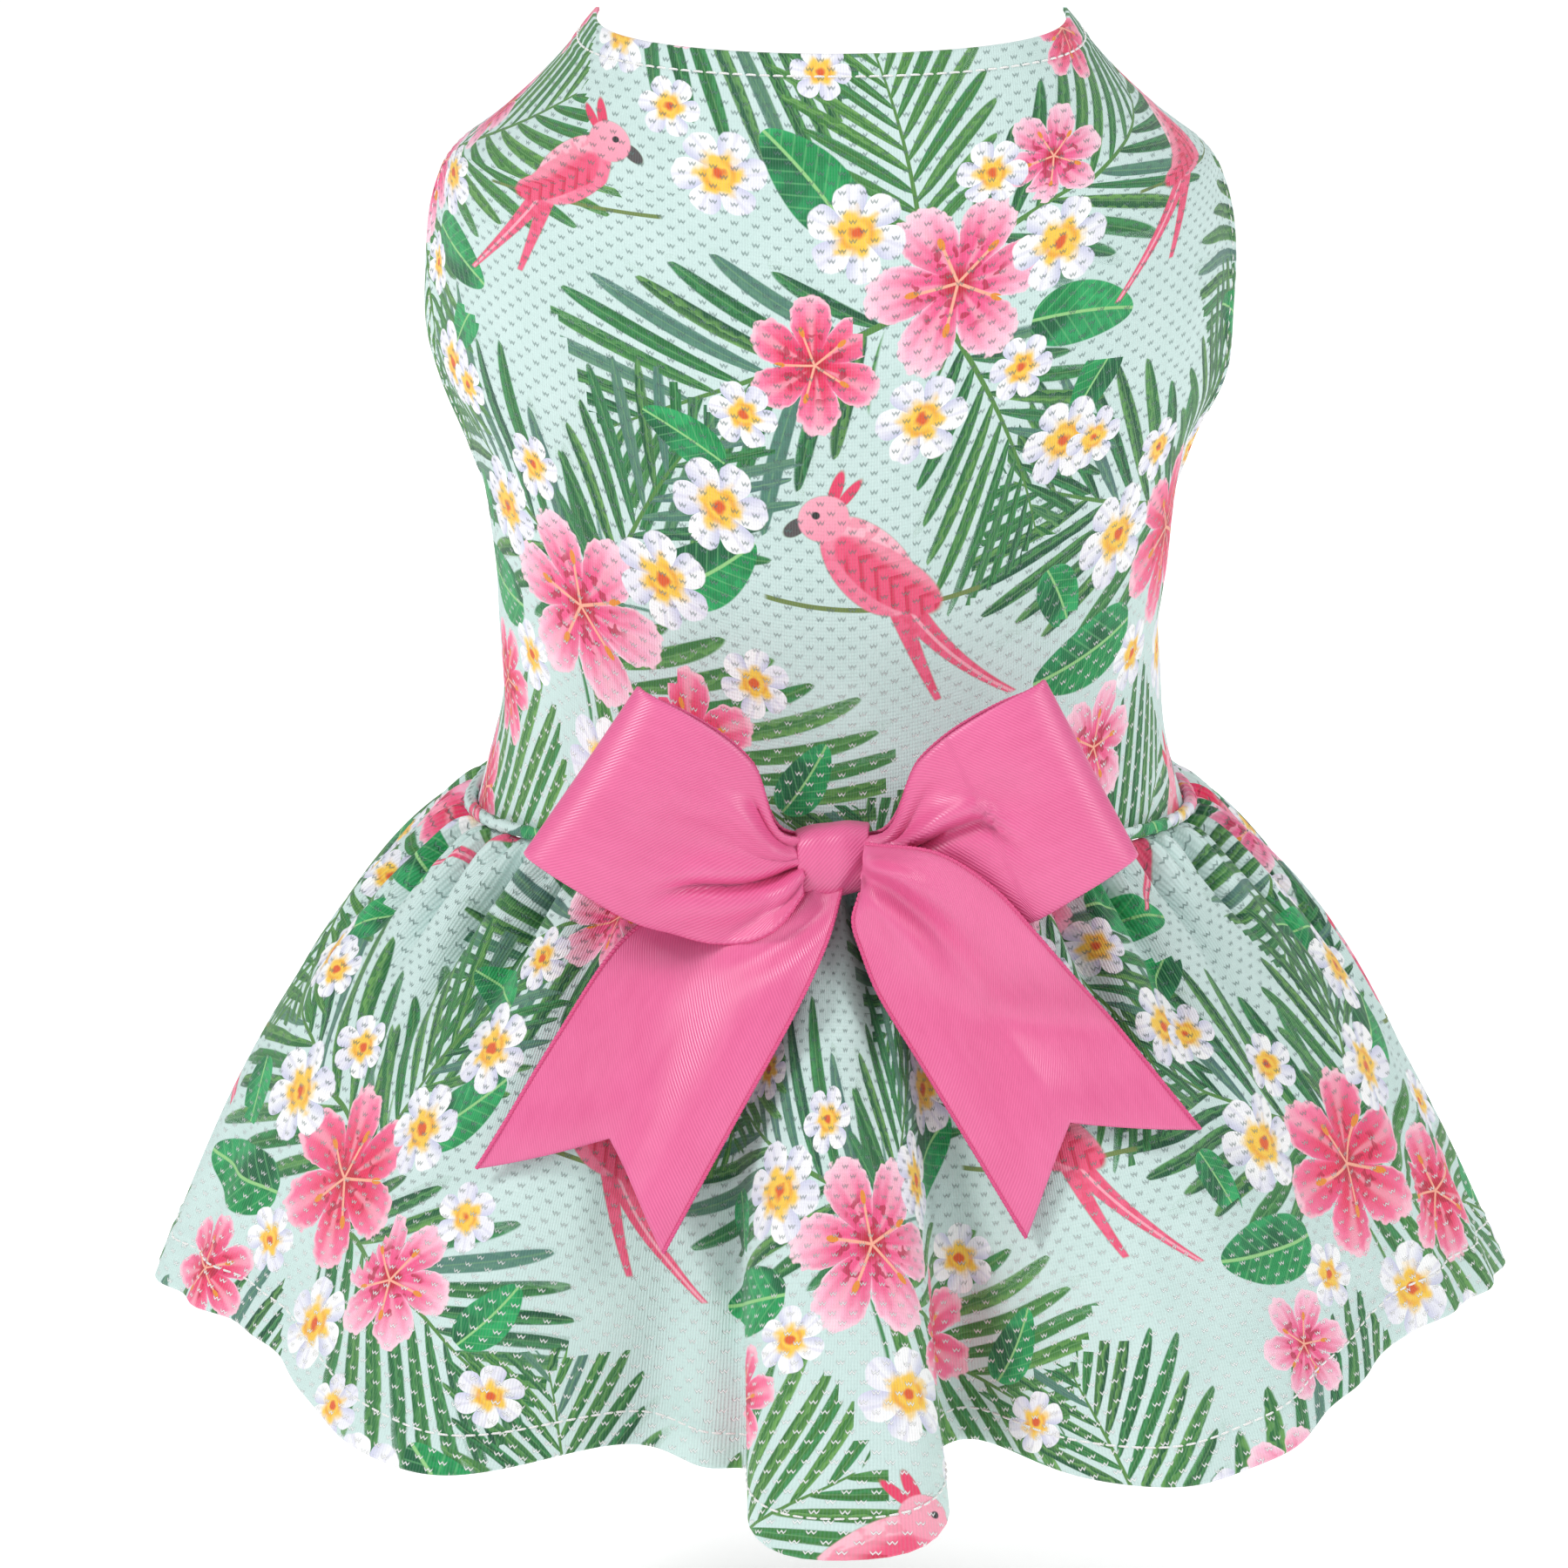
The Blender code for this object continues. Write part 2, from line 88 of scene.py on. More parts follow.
skirtShape = {
    "backDrop": 0.1010,
    "sideDrop": 0.0790,
    "endDrop": 0.0620,
    "backFlare": 0.0270,
    "sideFlare": 0.0512,
    "bellyFlare": 0.0400,
    "endAngle": math.radians(136),
    "backCurve": 1.30,
    "sideCurve": 1.80,
    "gatherPitch": 0.0092,
    "gatherDepth": 0.0140,
    "gatherPeak": 0.17,
    "gatherReach": 0.55,
    "foldDepth": 0.0240,
    "foldFall": 0.26,
    "seamFall": 0.00048,
    "foldStart": 0.25,
    "foldCurve": 1.4,
    "foldTopDepth": 0.35,
    "foldTopRate": 1.6,
    "foldSpread": 1.6,
    "softness": 0.0008,
    "fineSoftness": 0.0005,
    "hemSlant": 1.3,
}

Section = namedtuple("Section", "level width depth waist flare")
bodySections = (
    Section(-0.080, -0.36, -0.20, 0.00, 0.0),
    Section(0.000, 0.00, 0.00, 0.00, 0.0),
    Section(0.066, 0.28, 0.24, 0.00, 0.0),
    Section(0.119, 0.56, 0.42, 0.00, 0.0),
    Section(0.171, 0.88, 0.60, 0.00, 0.0),
    Section(0.215, 0.96, 0.72, 0.00, 0.0),
    Section(0.280, 1.00, 0.88, 0.00, 0.0),
    Section(0.380, 1.00, 1.00, 0.01, 0.0),
    Section(0.457, 1.00, 1.00, 0.18, 0.0),
    Section(0.545, 1.00, 1.00, 0.62, 0.0),
    Section(0.675, 1.00, 1.00, 0.88, 0.0),
    Section(0.850, 1.00, 1.00, 1.00, 0.0),
    Section(1.000, 1.00, 1.00, 1.00, 1.0),
    Section(1.080, 1.00, 1.00, 1.00, 1.7),
)

# The skirt's folds: angle and half width in degrees round the waist, how far each stands out as a share of
# the folds' depth, how much its sides spread, its drift in degrees towards the waist, how much of it shows
# there, how square its crown is and how much it widens towards the waist.
Fold = namedtuple("Fold", "angle halfWidth out spread drift top crown widen")
skirtFolds = (
    Fold(-124, 9.0, 0.45, 0.20, 4.0, 0.2, 2.0, 0.0),
    Fold(-106, 8.0, -0.30, 0.00, 2.0, 0.2, 2.0, 0.0),
    Fold(-84, 13.0, 0.22, 0.10, 3.0, 0.2, 2.0, 0.0),
    Fold(-58, 7.0, -0.10, 0.00, 6.0, 0.9, 2.0, 0.0),
    Fold(-34, 12.0, 0.56, 0.10, 4.0, 0.3, 2.0, 0.0),
    Fold(-19, 7.5, -0.46, 0.00, 3.0, 0.2, 2.0, 0.2),
    Fold(-7.5, 3.2, -0.16, 0.00, -1.0, 0.2, 2.0, 0.6),
    Fold(1.3, 4.7, 1.00, 0.50, -3.5, 0.4, 2.6, 1.1),
    Fold(12.8, 6.2, -0.60, 0.00, 1.0, 0.2, 2.0, 0.0),
    Fold(31, 12.0, 0.56, 0.12, -3.0, 0.3, 2.0, 0.0),
    Fold(57, 7.0, -0.12, 0.00, -5.0, 0.9, 2.0, 0.0),
    Fold(84, 13.0, 0.22, 0.10, -3.0, 0.2, 2.0, 0.0),
    Fold(106, 8.0, -0.30, 0.00, -2.0, 0.2, 2.0, 0.0),
    Fold(124, 9.0, 0.45, 0.20, -4.0, 0.2, 2.0, 0.0),
)

Wave = namedtuple("Wave", "size rate phase")
gathers = {
    "wander": (Wave(0.90, 3.1, 0.4), Wave(0.60, 7.3, 1.7)),
    "reach": 1.5,
    "reachWaves": (Wave(0.50, 8.3, 2.4),),
    "height": 0.78,
    "heightWaves": (Wave(0.22, 5.3, 1.1), Wave(0.16, 13.7, 0.0)),
    "crease": 0.02,
    "creaseOpens": 0.35,
    "sharpness": 1.5,
    "fine": 0.20,
    "fineRate": 2.7,
    "fineReach": 0.16,
}

# Hems: how deep each edge is turned, how much it stands out and where its stitches run.
hem = {
    "neckDepth": 0.0046,
    "holeDepth": 0.0046,
    "skirtDepth": 0.0062,
    "step": 0.00040,
    "groove": 0.00042,
    "grooveWidth": 0.00055,
    "stepStart": 0.0002,
    "stepSoft": 0.0008,
    "stitchInset": 0.0009,
}


def ease(share):
    share = np.clip(share, 0.0, 1.0)
    return share * share * (3 - 2 * share)


def mix(start, end, share):
    return start + (end - start) * share


def readTable(rows, place, column, at):
    places = np.array([getattr(row, place) for row in rows])
    values = np.array([getattr(row, column) for row in rows])
    last = len(rows) - 1
    order = np.arange(last + 1)
    before, after = np.maximum(order - 1, 0), np.minimum(order + 1, last)
    slopes = (values[after] - values[before]) / (places[after] - places[before])
    at = np.asarray(at, dtype=float)
    i = np.clip(np.searchsorted(places, at, side="right") - 1, 0, last - 1)
    span = places[i + 1] - places[i]
    s = np.clip((at - places[i]) / span, 0, 1)
    return (
        values[i] * (1 + 2 * s) * (1 - s) ** 2
        + values[i + 1] * s * s * (3 - 2 * s)
        + span * (slopes[i] * s * (1 - s) ** 2 - slopes[i + 1] * s * s * (1 - s))
    )


def waves(rows, at):
    return sum(row.size * np.sin(row.rate * at + row.phase) for row in rows)


def unit(vectors):
    return vectors / np.maximum(np.linalg.norm(vectors, axis=-1, keepdims=True), 1e-12)


def lengthAlong(path):
    # Metres from the first point, or row of points, to each of the others.
    steps = np.linalg.norm(np.diff(path, axis=0), axis=-1)
    return np.concatenate([np.zeros((1, *steps.shape[1:])), np.cumsum(steps, axis=0)])


def pointsAt(places, length, path):
    return np.stack([np.interp(places, length, path[:, c]) for c in range(3)], -1)


def towardsBelly(angle):
    return np.maximum(0.0, -np.cos(angle)) ** body["bellyCurve"]


def rimHeight(angle):
    nape = body["napeDrop"] * np.maximum(0.0, np.cos(angle))
    return -nape - body["throatDrop"] * towardsBelly(angle)


def seamHeight(angle):
    return -body["length"] + body["bellyRise"] * towardsBelly(angle)


def bodyHalfSizes(height):
    level = -np.asarray(height, dtype=float) / body["length"]
    width = readTable(bodySections, "level", "width", level)
    depth = readTable(bodySections, "level", "depth", level)
    waist = readTable(bodySections, "level", "waist", level)
    flare = body["waistFlare"] * readTable(bodySections, "level", "flare", level)
    halfWidth = mix(mix(body["neckWidth"], body["chestWidth"], width), body["waistWidth"], waist) / 2
    halfDepth = mix(mix(body["neckDepth"], body["chestDepth"], depth), body["waistDepth"], waist) / 2
    return halfWidth + flare, halfDepth + flare


def around(halfWidth, halfDepth, angle):
    sine, cosine = np.sin(angle), np.cos(angle)
    swell = 1 + body["squareness"] * (2 * sine * cosine) ** 2
    level = 0 * sine + 0 * halfWidth
    place = np.stack([halfWidth * sine * swell, -halfDepth * cosine * swell, level], -1)
    outward = np.stack([sine / halfWidth, -cosine / halfDepth, level], -1)
    return place, unit(outward)


def bodyPoint(angle, height, standOff):
    halfWidth, halfDepth = bodyHalfSizes(height)
    place, outward = around(halfWidth, halfDepth, angle)
    place = place + outward * np.asarray(standOff)[..., None]
    place[..., 2] += height
    return place


def holeShare(level):
    half = body["holeHeight"] / 2
    offset = (level * body["length"] - body["holeDrop"] - half) / half
    return np.sqrt(np.maximum(0.0, 1 - offset * offset))


def holeHalfAngle():
    middle = -body["holeDrop"] - body["holeHeight"] / 2
    halfWidth, halfDepth = bodyHalfSizes(middle)
    return float(body["holeWidth"] / (halfWidth + halfDepth))


def hemStep(distance, depth):
    # A turned hem is a second layer, drawn in along its line of stitches.
    step = hem["step"] * (1 - ease((distance - depth + hem["stepStart"]) / hem["stepSoft"]))
    line = (distance - depth + hem["stitchInset"]) / hem["grooveWidth"]
    return step - hem["groove"] * np.exp(-line * line)


def holeDistance(angle, level):
    # Along the cloth from a leg hole's edge, near enough for the hem round it.
    half = body["holeHeight"] / 2
    middle = body["holeDrop"] + half
    up = (level * body["length"] - middle) / half
    across = (np.abs(angle) - body["seamAngle"]) / holeHalfAngle()
    radius = np.sqrt(up * up + across * across) + 1e-9
    reach = np.sqrt((up * half) ** 2 + (across * body["holeWidth"] / 2) ** 2) / radius
    return (radius - 1) * reach


def ridge(at, line, width):
    return np.exp(-(((at - line) / width) ** 2))


def wrinkle(angle, level):
    side, arm = ease((np.abs(angle) - 0.7) / 0.6), ease((np.abs(angle) - 0.9) / 0.5)
    waist = ridge(level, slack["waistLevel"], slack["waistReach"])
    shoulder = ridge(level, slack["shoulderLevel"], slack["shoulderReach"])
    drag = np.sin(31 * level + 5.0 * np.abs(angle) + 1.3 * np.sin(3 * angle))
    ripple = np.sin(23 * level - 7.0 * angle + 0.7) * np.sin(9 * level + 4 * angle)
    drawn = (slack["waist"] * waist * side + slack["shoulder"] * shoulder * arm) * drag
    return drawn + slack["ripple"] * ripple * waist


def bodiceCloth(angle, level):
    height = mix(rimHeight(angle), seamHeight(angle), level)
    fromSeam = np.abs(np.abs(angle) - body["seamAngle"])
    fromHole = np.maximum(0.0, fromSeam - holeHalfAngle() * holeShare(level)) * body["chestWidth"] / 2
    flare = body["holeFlare"] * ease(holeShare(level)) * ridge(fromHole, 0, body["holeFlareReach"])
    flare = flare + hemStep(level * body["length"], hem["neckDepth"])
    flare = flare + hemStep(holeDistance(angle, level), hem["holeDepth"])
    groove = body["seamGroove"] * ridge(fromSeam * body["seamRadius"], 0, body["seamGrooveWidth"])
    return bodyPoint(angle, height, flare - groove + wrinkle(angle, level))


def skirtDrop(angle):
    quarter = math.pi / 2
    past = (np.abs(angle) - quarter) / (skirtShape["endAngle"] - quarter)
    back = mix(skirtShape["backDrop"], skirtShape["sideDrop"], np.sin(angle) ** 2)
    front = mix(skirtShape["sideDrop"], skirtShape["endDrop"], ease(past))
    return np.where(past > 0, front, back)


def foldOffsets(angle, share):
    out = along = 0.0
    top = skirtShape["foldTopDepth"] * np.sin(math.pi * np.minimum(1.0, share * skirtShape["foldTopRate"]))
    growing = ease(share / skirtShape["foldStart"])
    for fold in skirtFolds:
        centre = np.radians(fold.angle + fold.drift * (1 - share))
        x = (angle - centre) / (math.radians(fold.halfWidth) * (1 + fold.widen * (1 - share)))
        growth = mix(fold.top * top, 1.0, share ** skirtShape["foldCurve"]) * growing
        bump = fold.out * skirtShape["foldDepth"] * growth * np.exp(-np.abs(x) ** fold.crown)
        out = out + bump
        along = along + fold.spread * bump * x * skirtShape["foldSpread"]
    return out, along


def gatherDepth(angle, share):
    halfWidth, halfDepth = bodyHalfSizes(-body["length"])
    length = skirtShape["endAngle"] * (halfWidth + halfDepth)
    pleats = max(1, round(float(length) / skirtShape["gatherPitch"]))
    turn = math.pi * pleats * (angle / skirtShape["endAngle"] + 1)
    wander = waves(gathers["wander"], angle)
    reach = skirtShape["gatherReach"] * (gathers["reach"] + waves(gathers["reachWaves"], angle))
    rise = share / skirtShape["gatherPeak"]
    fade = rise * np.exp(1 - rise) * (1 - ease(share / reach))
    # Round crowns with sharp creases between them, which open out further down.
    opening = gathers["crease"] + gathers["creaseOpens"] * share
    crease = 1 - np.hypot(np.sin((turn + wander) / 2), opening)
    crease = np.maximum(0, crease) ** gathers["sharpness"]
    uneven = gathers["height"] + waves(gathers["heightWaves"], angle)
    fine = gathers["fine"] * np.sin(gathers["fineRate"] * turn + 2 * wander)
    fine = fine * ridge(share, 0, gathers["fineReach"])
    return skirtShape["gatherDepth"] * fade * (crease * uneven + fine)


def skirtCloth(angle, share, gathered=1.0):
    halfWidth, halfDepth = bodyHalfSizes(-body["length"])
    sideFlare = skirtShape["sideFlare"]
    depthFlare = np.where(np.cos(angle) > 0, skirtShape["backFlare"], skirtShape["bellyFlare"])
    place, outward = around(halfWidth + sideFlare * share, halfDepth + depthFlare * share, angle)
    curve = mix(skirtShape["backCurve"], skirtShape["sideCurve"], np.sin(angle) ** 2)
    place[..., 2] = seamHeight(angle) - skirtShape["seamFall"] - skirtDrop(angle) * share**curve
    out, along = foldOffsets(angle, share)
    tangent = np.stack([np.cos(angle), np.sin(angle), 0 * angle], -1)
    soft = skirtShape["softness"] * np.sin(19 * angle + 3 * share) * np.sin(5 * share + 11 * angle)
    soft = (soft + skirtShape["fineSoftness"] * np.sin(37 * angle - 4 * share)) * ease(share / 0.3)
    fromHem = (1 - share) * skirtDrop(angle) * skirtShape["hemSlant"]
    # Gathers sink square to the cloth, which leaves the waist almost level at the sides.
    flare = np.hypot(sideFlare * np.sin(angle), depthFlare * np.cos(angle))
    fall = skirtDrop(angle) * curve * np.maximum(share, 0.02) ** (curve - 1)
    sink = gathered * gatherDepth(angle, share) / np.hypot(flare, fall)
    lift = gathered * (soft + hemStep(fromHem, hem["skirtDepth"])) - sink * fall
    place = place + outward * (out + lift)[..., None] + tangent * along[..., None]
    place[..., 2] -= skirtShape["foldFall"] * out * share + sink * flare
    return place


# The print: each motif's layer, where its foot or its middle lies in the repeat and its size, all in
# millimetres, its turn in degrees and whether it is mirrored.
Motif = namedtuple("Motif", "layer across up size turn mirror")
repeat = {"width": 118.0, "height": 134.0}
motifs = (
    Motif("frondBack", 38, 40, 58, 68, 1),
    Motif("frondBack", 26, 30, 56, -112, 1),
    Motif("frondBack", 94, 106, 58, -66, -1),
    Motif("frondBack", 84, 98, 56, 116, -1),
    Motif("frondFront", 33, 38, 46, -24, 1),
    Motif("frondFront", 89, 108, 42, 10, -1),
    Motif("frondFront", 94, 94, 44, 204, 1),
    Motif("leaf", 46, 46, 20, -50, 1),
    Motif("leaf", 13, 27, 22, 92, -1),
    Motif("leaf", 77, 114, 22, 40, 1),
    Motif("leaf", 108, 92, 20, -104, -1),
    Motif("leaf", 66, 14, 14, -32, 1),
    Motif("leaf", 6, 82, 14, 140, 1),
    Motif("leaf", 56, 72, 15, 70, 1),
    Motif("leaf", 112, 46, 14, -160, -1),
    Motif("bird", 85, 25, 50, 6, 1),
    Motif("bird", 25, 87, 47, -4, -1),
    Motif("flower", 29, 36, 16.5, 10, 1),
    Motif("flower", 50, 22, 12.5, 40, -1),
    Motif("flower", 95, 102, 16.0, -25, 1),
    Motif("flower", 71, 91, 12.0, 18, -1),
    Motif("flower", 112, 122, 10.0, 8, 1),
    Motif("flower", 4, 10, 10.0, 32, -1),
    Motif("blossom", 9, 45, 9.2, 0, 1),
    Motif("blossom", 45, 48, 8.6, 25, 1),
    Motif("blossom", 34, 11, 8.2, 50, -1),
    Motif("blossom", 113, 104, 9.0, 15, 1),
    Motif("blossom", 78, 113, 8.8, 46, -1),
    Motif("blossom", 89, 80, 8.0, 34, 1),
    Motif("blossom", 55, 64, 8.4, 20, 1),
    Motif("blossom", 55, 122, 8.4, 5, 1),
    Motif("blossom", 114, 68, 7.8, 33, 1),
    Motif("bud", 19, 57, 6.0, 20, 1),
    Motif("bud", 61, 35, 6.2, 35, -1),
    Motif("bud", 15, 20, 6.0, 10, 1),
    Motif("bud", 101, 121, 6.4, 40, -1),
    Motif("bud", 59, 81, 6.0, 50, 1),
    Motif("bud", 106, 84, 5.8, 25, 1),
    Motif("bud", 46, 133, 5.8, 12, 1),
    Motif("bud", 2, 66, 5.6, 48, 1),
    Motif("bud", 72, 7, 5.4, 31, -1),
)

# How far from its foot or middle a motif may reach, in its own sizes, and the spare round it. Each copy
# of a motif gets a number of its own, from its row and column among a few repeats.
motifReach = {"size": 1.3, "margin": 0.0012, "outside": 99.0}
motifNumber = {"motif": 7.31, "column": 2.17, "row": 3.93, "repeats": 5}

frondShape = {
    "leaflets": 11.0,
    "bend": 0.16,
    "lean": 0.10,
    "slant": 0.80,
    "slantGrowth": 0.55,
    "droop": 0.85,
    "spread": 0.30,
    "reach": 0.84,
    "rootScale": 0.93,
    "rootStart": 0.07,
    "widest": 1.22,
    "taper": 0.45,
}


def frondRoot(x, y):
    # How far out on a bent stem's side a place lies, and where on the stem its leaflet springs.
    bent = x - frondShape["bend"] * y * y + frondShape["lean"] * y
    side = abs(bent)
    root = y - side * (frondShape["slant"] + frondShape["slantGrowth"] * y)
    root = (root + frondShape["droop"] * side * side) / (1.0 + frondShape["spread"] * side)
    return bent, side, root


def insideFrond(x, y, margin):
    _, side, root = frondRoot(x, y)
    start = np.clip(root * frondShape["rootScale"] + frondShape["rootStart"], 0, 1)
    reach = frondShape["reach"] * np.sqrt(start * np.clip(1 - root, 0, 1))
    widest = reach * (frondShape["widest"] - frondShape["taper"] * root) + margin
    return (side < widest) & (root > -margin) & (root < 1) & (y > -margin) & (y < 1 + margin)


def insideStrip(x, y, halfWidth, margin):
    return (np.abs(x) < halfWidth + margin) & (y > -margin) & (y < 1 + margin)


def insideLeaf(x, y, margin):
    return insideStrip(x, y, 0.36, margin)


def insideRound(x, y, margin):
    return x * x + y * y < (1.04 + margin) ** 2


def insideBird(x, y, margin):
    return insideStrip(x, y, 0.50, margin)


def motifCoordinates(name, faceUv, cornerUv):
    # For each corner, its place in the motif that covers its face, and a number for that motif.
    width, height = repeat["width"] / 1000, repeat["height"] / 1000
    low, high = faceUv.min(0), faceUv.max(0)
    outside = motifReach["outside"]
    found = np.full((len(faceUv), 6), outside)
    free = np.ones(len(faceUv), bool)
    for i, motif in enumerate(m for m in motifs if m.layer == name):
        size, turn = motif.size / 1000, math.radians(motif.turn)
        cosine, sine = math.cos(turn), math.sin(turn)
        columns = range(math.floor((low[0] - size) / width) - 1, math.ceil((high[0] + size) / width) + 1)
        rows = range(math.floor((low[1] - size) / height) - 1, math.ceil((high[1] + size) / height) + 1)
        for column, row in itertools.product(columns, rows):
            centreX, centreY = motif.across / 1000 + column * width, motif.up / 1000 + row * height
            x, y = faceUv[:, 0] - centreX, faceUv[:, 1] - centreY
            near = np.flatnonzero(free & (x * x + y * y < (motifReach["size"] * size) ** 2))
            x, y = x[near], y[near]
            localX = (x * cosine + y * sine) / size * motif.mirror
            localY = (-x * sine + y * cosine) / size
            inside = near[printLayers[name].covers(localX, localY, motifReach["margin"] / size)]
            number = i * motifNumber["motif"] + column % motifNumber["repeats"] * motifNumber["column"]
            number += row % motifNumber["repeats"] * motifNumber["row"]
            found[inside] = (centreX, centreY, cosine / size, sine / size, motif.mirror, number)
            free[inside] = False
    f = np.repeat(found, cornerUv.shape[0] // len(faceUv), axis=0)
    x, y = cornerUv[:, 0] - f[:, 0], cornerUv[:, 1] - f[:, 1]
    local = np.stack([(x * f[:, 2] + y * f[:, 3]) * f[:, 4], -x * f[:, 3] + y * f[:, 2], f[:, 5]], -1)
    local[f[:, 0] == outside] = (outside, outside, 0.0)
    return local, ~free


def linked(name, data):
    made = bpy.data.objects.new(name, data)
    bpy.context.scene.collection.objects.link(made)
    return made


def setUv(mesh, cornerUv):
    layer = mesh.uv_layers.new(name="cloth")
    layer.uv.foreach_set("vector", cornerUv.astype(np.float32).ravel())


def setInputs(shader, values):
    for name, value in values.items():
        shader.inputs[name].default_value = value


def gridNormals(points):
    return unit(np.cross(np.gradient(points, axis=0), np.gradient(points, axis=1)))


def edgeRing(rows, columns):
    top = [(0, i) for i in range(columns - 1)]
    right = [(j, columns - 1) for j in range(rows - 1)]
    bottom = [(rows - 1, i) for i in range(columns - 1, 0, -1)]
    left = [(j, 0) for j in range(rows - 1, 0, -1)]
    return np.array(top + right + bottom + left)


edgeBulge = 0.45  # how far a sheet's rounded edge stands out, in thicknesses


def clothPiece(name, points, uv, thickness, finish=None):
    # A sheet with a rounded edge all round. Without a finish of its own it is the printed cloth.
    rows, columns = points.shape[:2]
    count = rows * columns
    inner = points - gridNormals(points) * thickness
    ring = edgeRing(rows, columns)
    inward = np.stack([np.clip(ring[:, 0], 1, rows - 2), np.clip(ring[:, 1], 1, columns - 2)], -1)
    edge = points[ring[:, 0], ring[:, 1]]
    out = unit(edge - points[inward[:, 0], inward[:, 1]])
    rim = (edge + inner[ring[:, 0], ring[:, 1]]) / 2 + out * thickness * edgeBulge
    vertices = np.concatenate([points.reshape(-1, 3), inner.reshape(-1, 3), rim])
    j, i = np.meshgrid(np.arange(rows - 1), np.arange(columns - 1), indexing="ij")
    corner = (j * columns + i).ravel()
    outer = np.stack([corner, corner + columns, corner + columns + 1, corner + 1], -1)
    reverse = outer[:, ::-1] + count
    loop = ring[:, 0] * columns + ring[:, 1]
    following = np.roll(loop, -1)
    middle = 2 * count + np.arange(len(loop))
    middleNext = np.roll(middle, -1)
    front = np.stack([loop, following, middleNext, middle], -1)
    back = np.stack([middle, middleNext, following + count, loop + count], -1)
    faces = np.concatenate([outer, front, back, reverse])
    mesh = bpy.data.meshes.new(name)
    mesh.from_pydata(vertices.tolist(), [], faces.tolist())
    flatUv = uv.reshape(-1, 2)
    allUv = np.concatenate([flatUv, flatUv, flatUv[loop]])
    cornerUv = allUv[faces.ravel()]
    setUv(mesh, cornerUv)
    if finish:
        mesh.materials.append(finish)
    else:
        printMesh(mesh, allUv[faces].mean(1), cornerUv, len(faces) - len(reverse))
    mesh.shade_smooth()
    mesh.update()
    piece = linked(name, mesh)
    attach(piece, "root")
    return piece


def printMesh(mesh, faceUv, cornerUv, printed):
    # The motifs' places go in one attribute a layer. A face's finish draws only what lies on it.
    everything = (1 << len(printLayers)) - 1
    keys = np.zeros(len(faceUv), int)
    for bit, name in enumerate(printLayers):
        local, covered = motifCoordinates(name, faceUv, cornerUv)
        keys += covered * (1 << bit)
        made = mesh.attributes.new(name, "FLOAT_VECTOR", "CORNER")
        made.data.foreach_set("vector", local.astype(np.float32).ravel())
    keys = keys[:printed]
    present, counts = np.unique(keys, return_counts=True)
    kept = [int(k) for k in present[np.argsort(-counts)][:finishesAPiece]] + [everything]
    taken = []
    index = np.zeros(len(faceUv), np.int32)
    for key in present.tolist():
        # A rare mix of motifs takes a finish that also draws some it lacks.
        wider = min((k for k in kept if k & key == key), key=lambda k: bin(k).count("1"))
        if wider not in taken:
            taken.append(wider)
            mesh.materials.append(printedCloth(wider))
        index[:printed][keys == key] = taken.index(wider)
    mesh.materials.append(printedCloth(everything, reverse=True))
    index[printed:] = len(taken)
    mesh.polygons.foreach_set("material_index", index)


def arcUv(points, zeroColumn, start):
    # Metres along each row from one column, and down each column from the first row.
    across = lengthAlong(points.swapaxes(0, 1)).T
    across -= across[:, zeroColumn : zeroColumn + 1]
    return np.stack([start[0] + across, start[1] - lengthAlong(points)], -1)


def linear(red, green, blue):
    # A colour given as it looks on a screen, 0 to 255.
    values = [c / 255 for c in (red, green, blue)]
    return tuple(((c + 0.055) / 1.055) ** 2.4 if c > 0.04 else c / 12.92 for c in values) + (1.0,)


def socketMaths(operation, reflected=False):
    # A method that adds one Math node, for a socket and what it is combined with.
    def combine(self, *others):
        values = (*others, self) if reflected else (self, *others)
        return self.node("Math", {"operation": operation}, dict(enumerate(values)))

    return combine


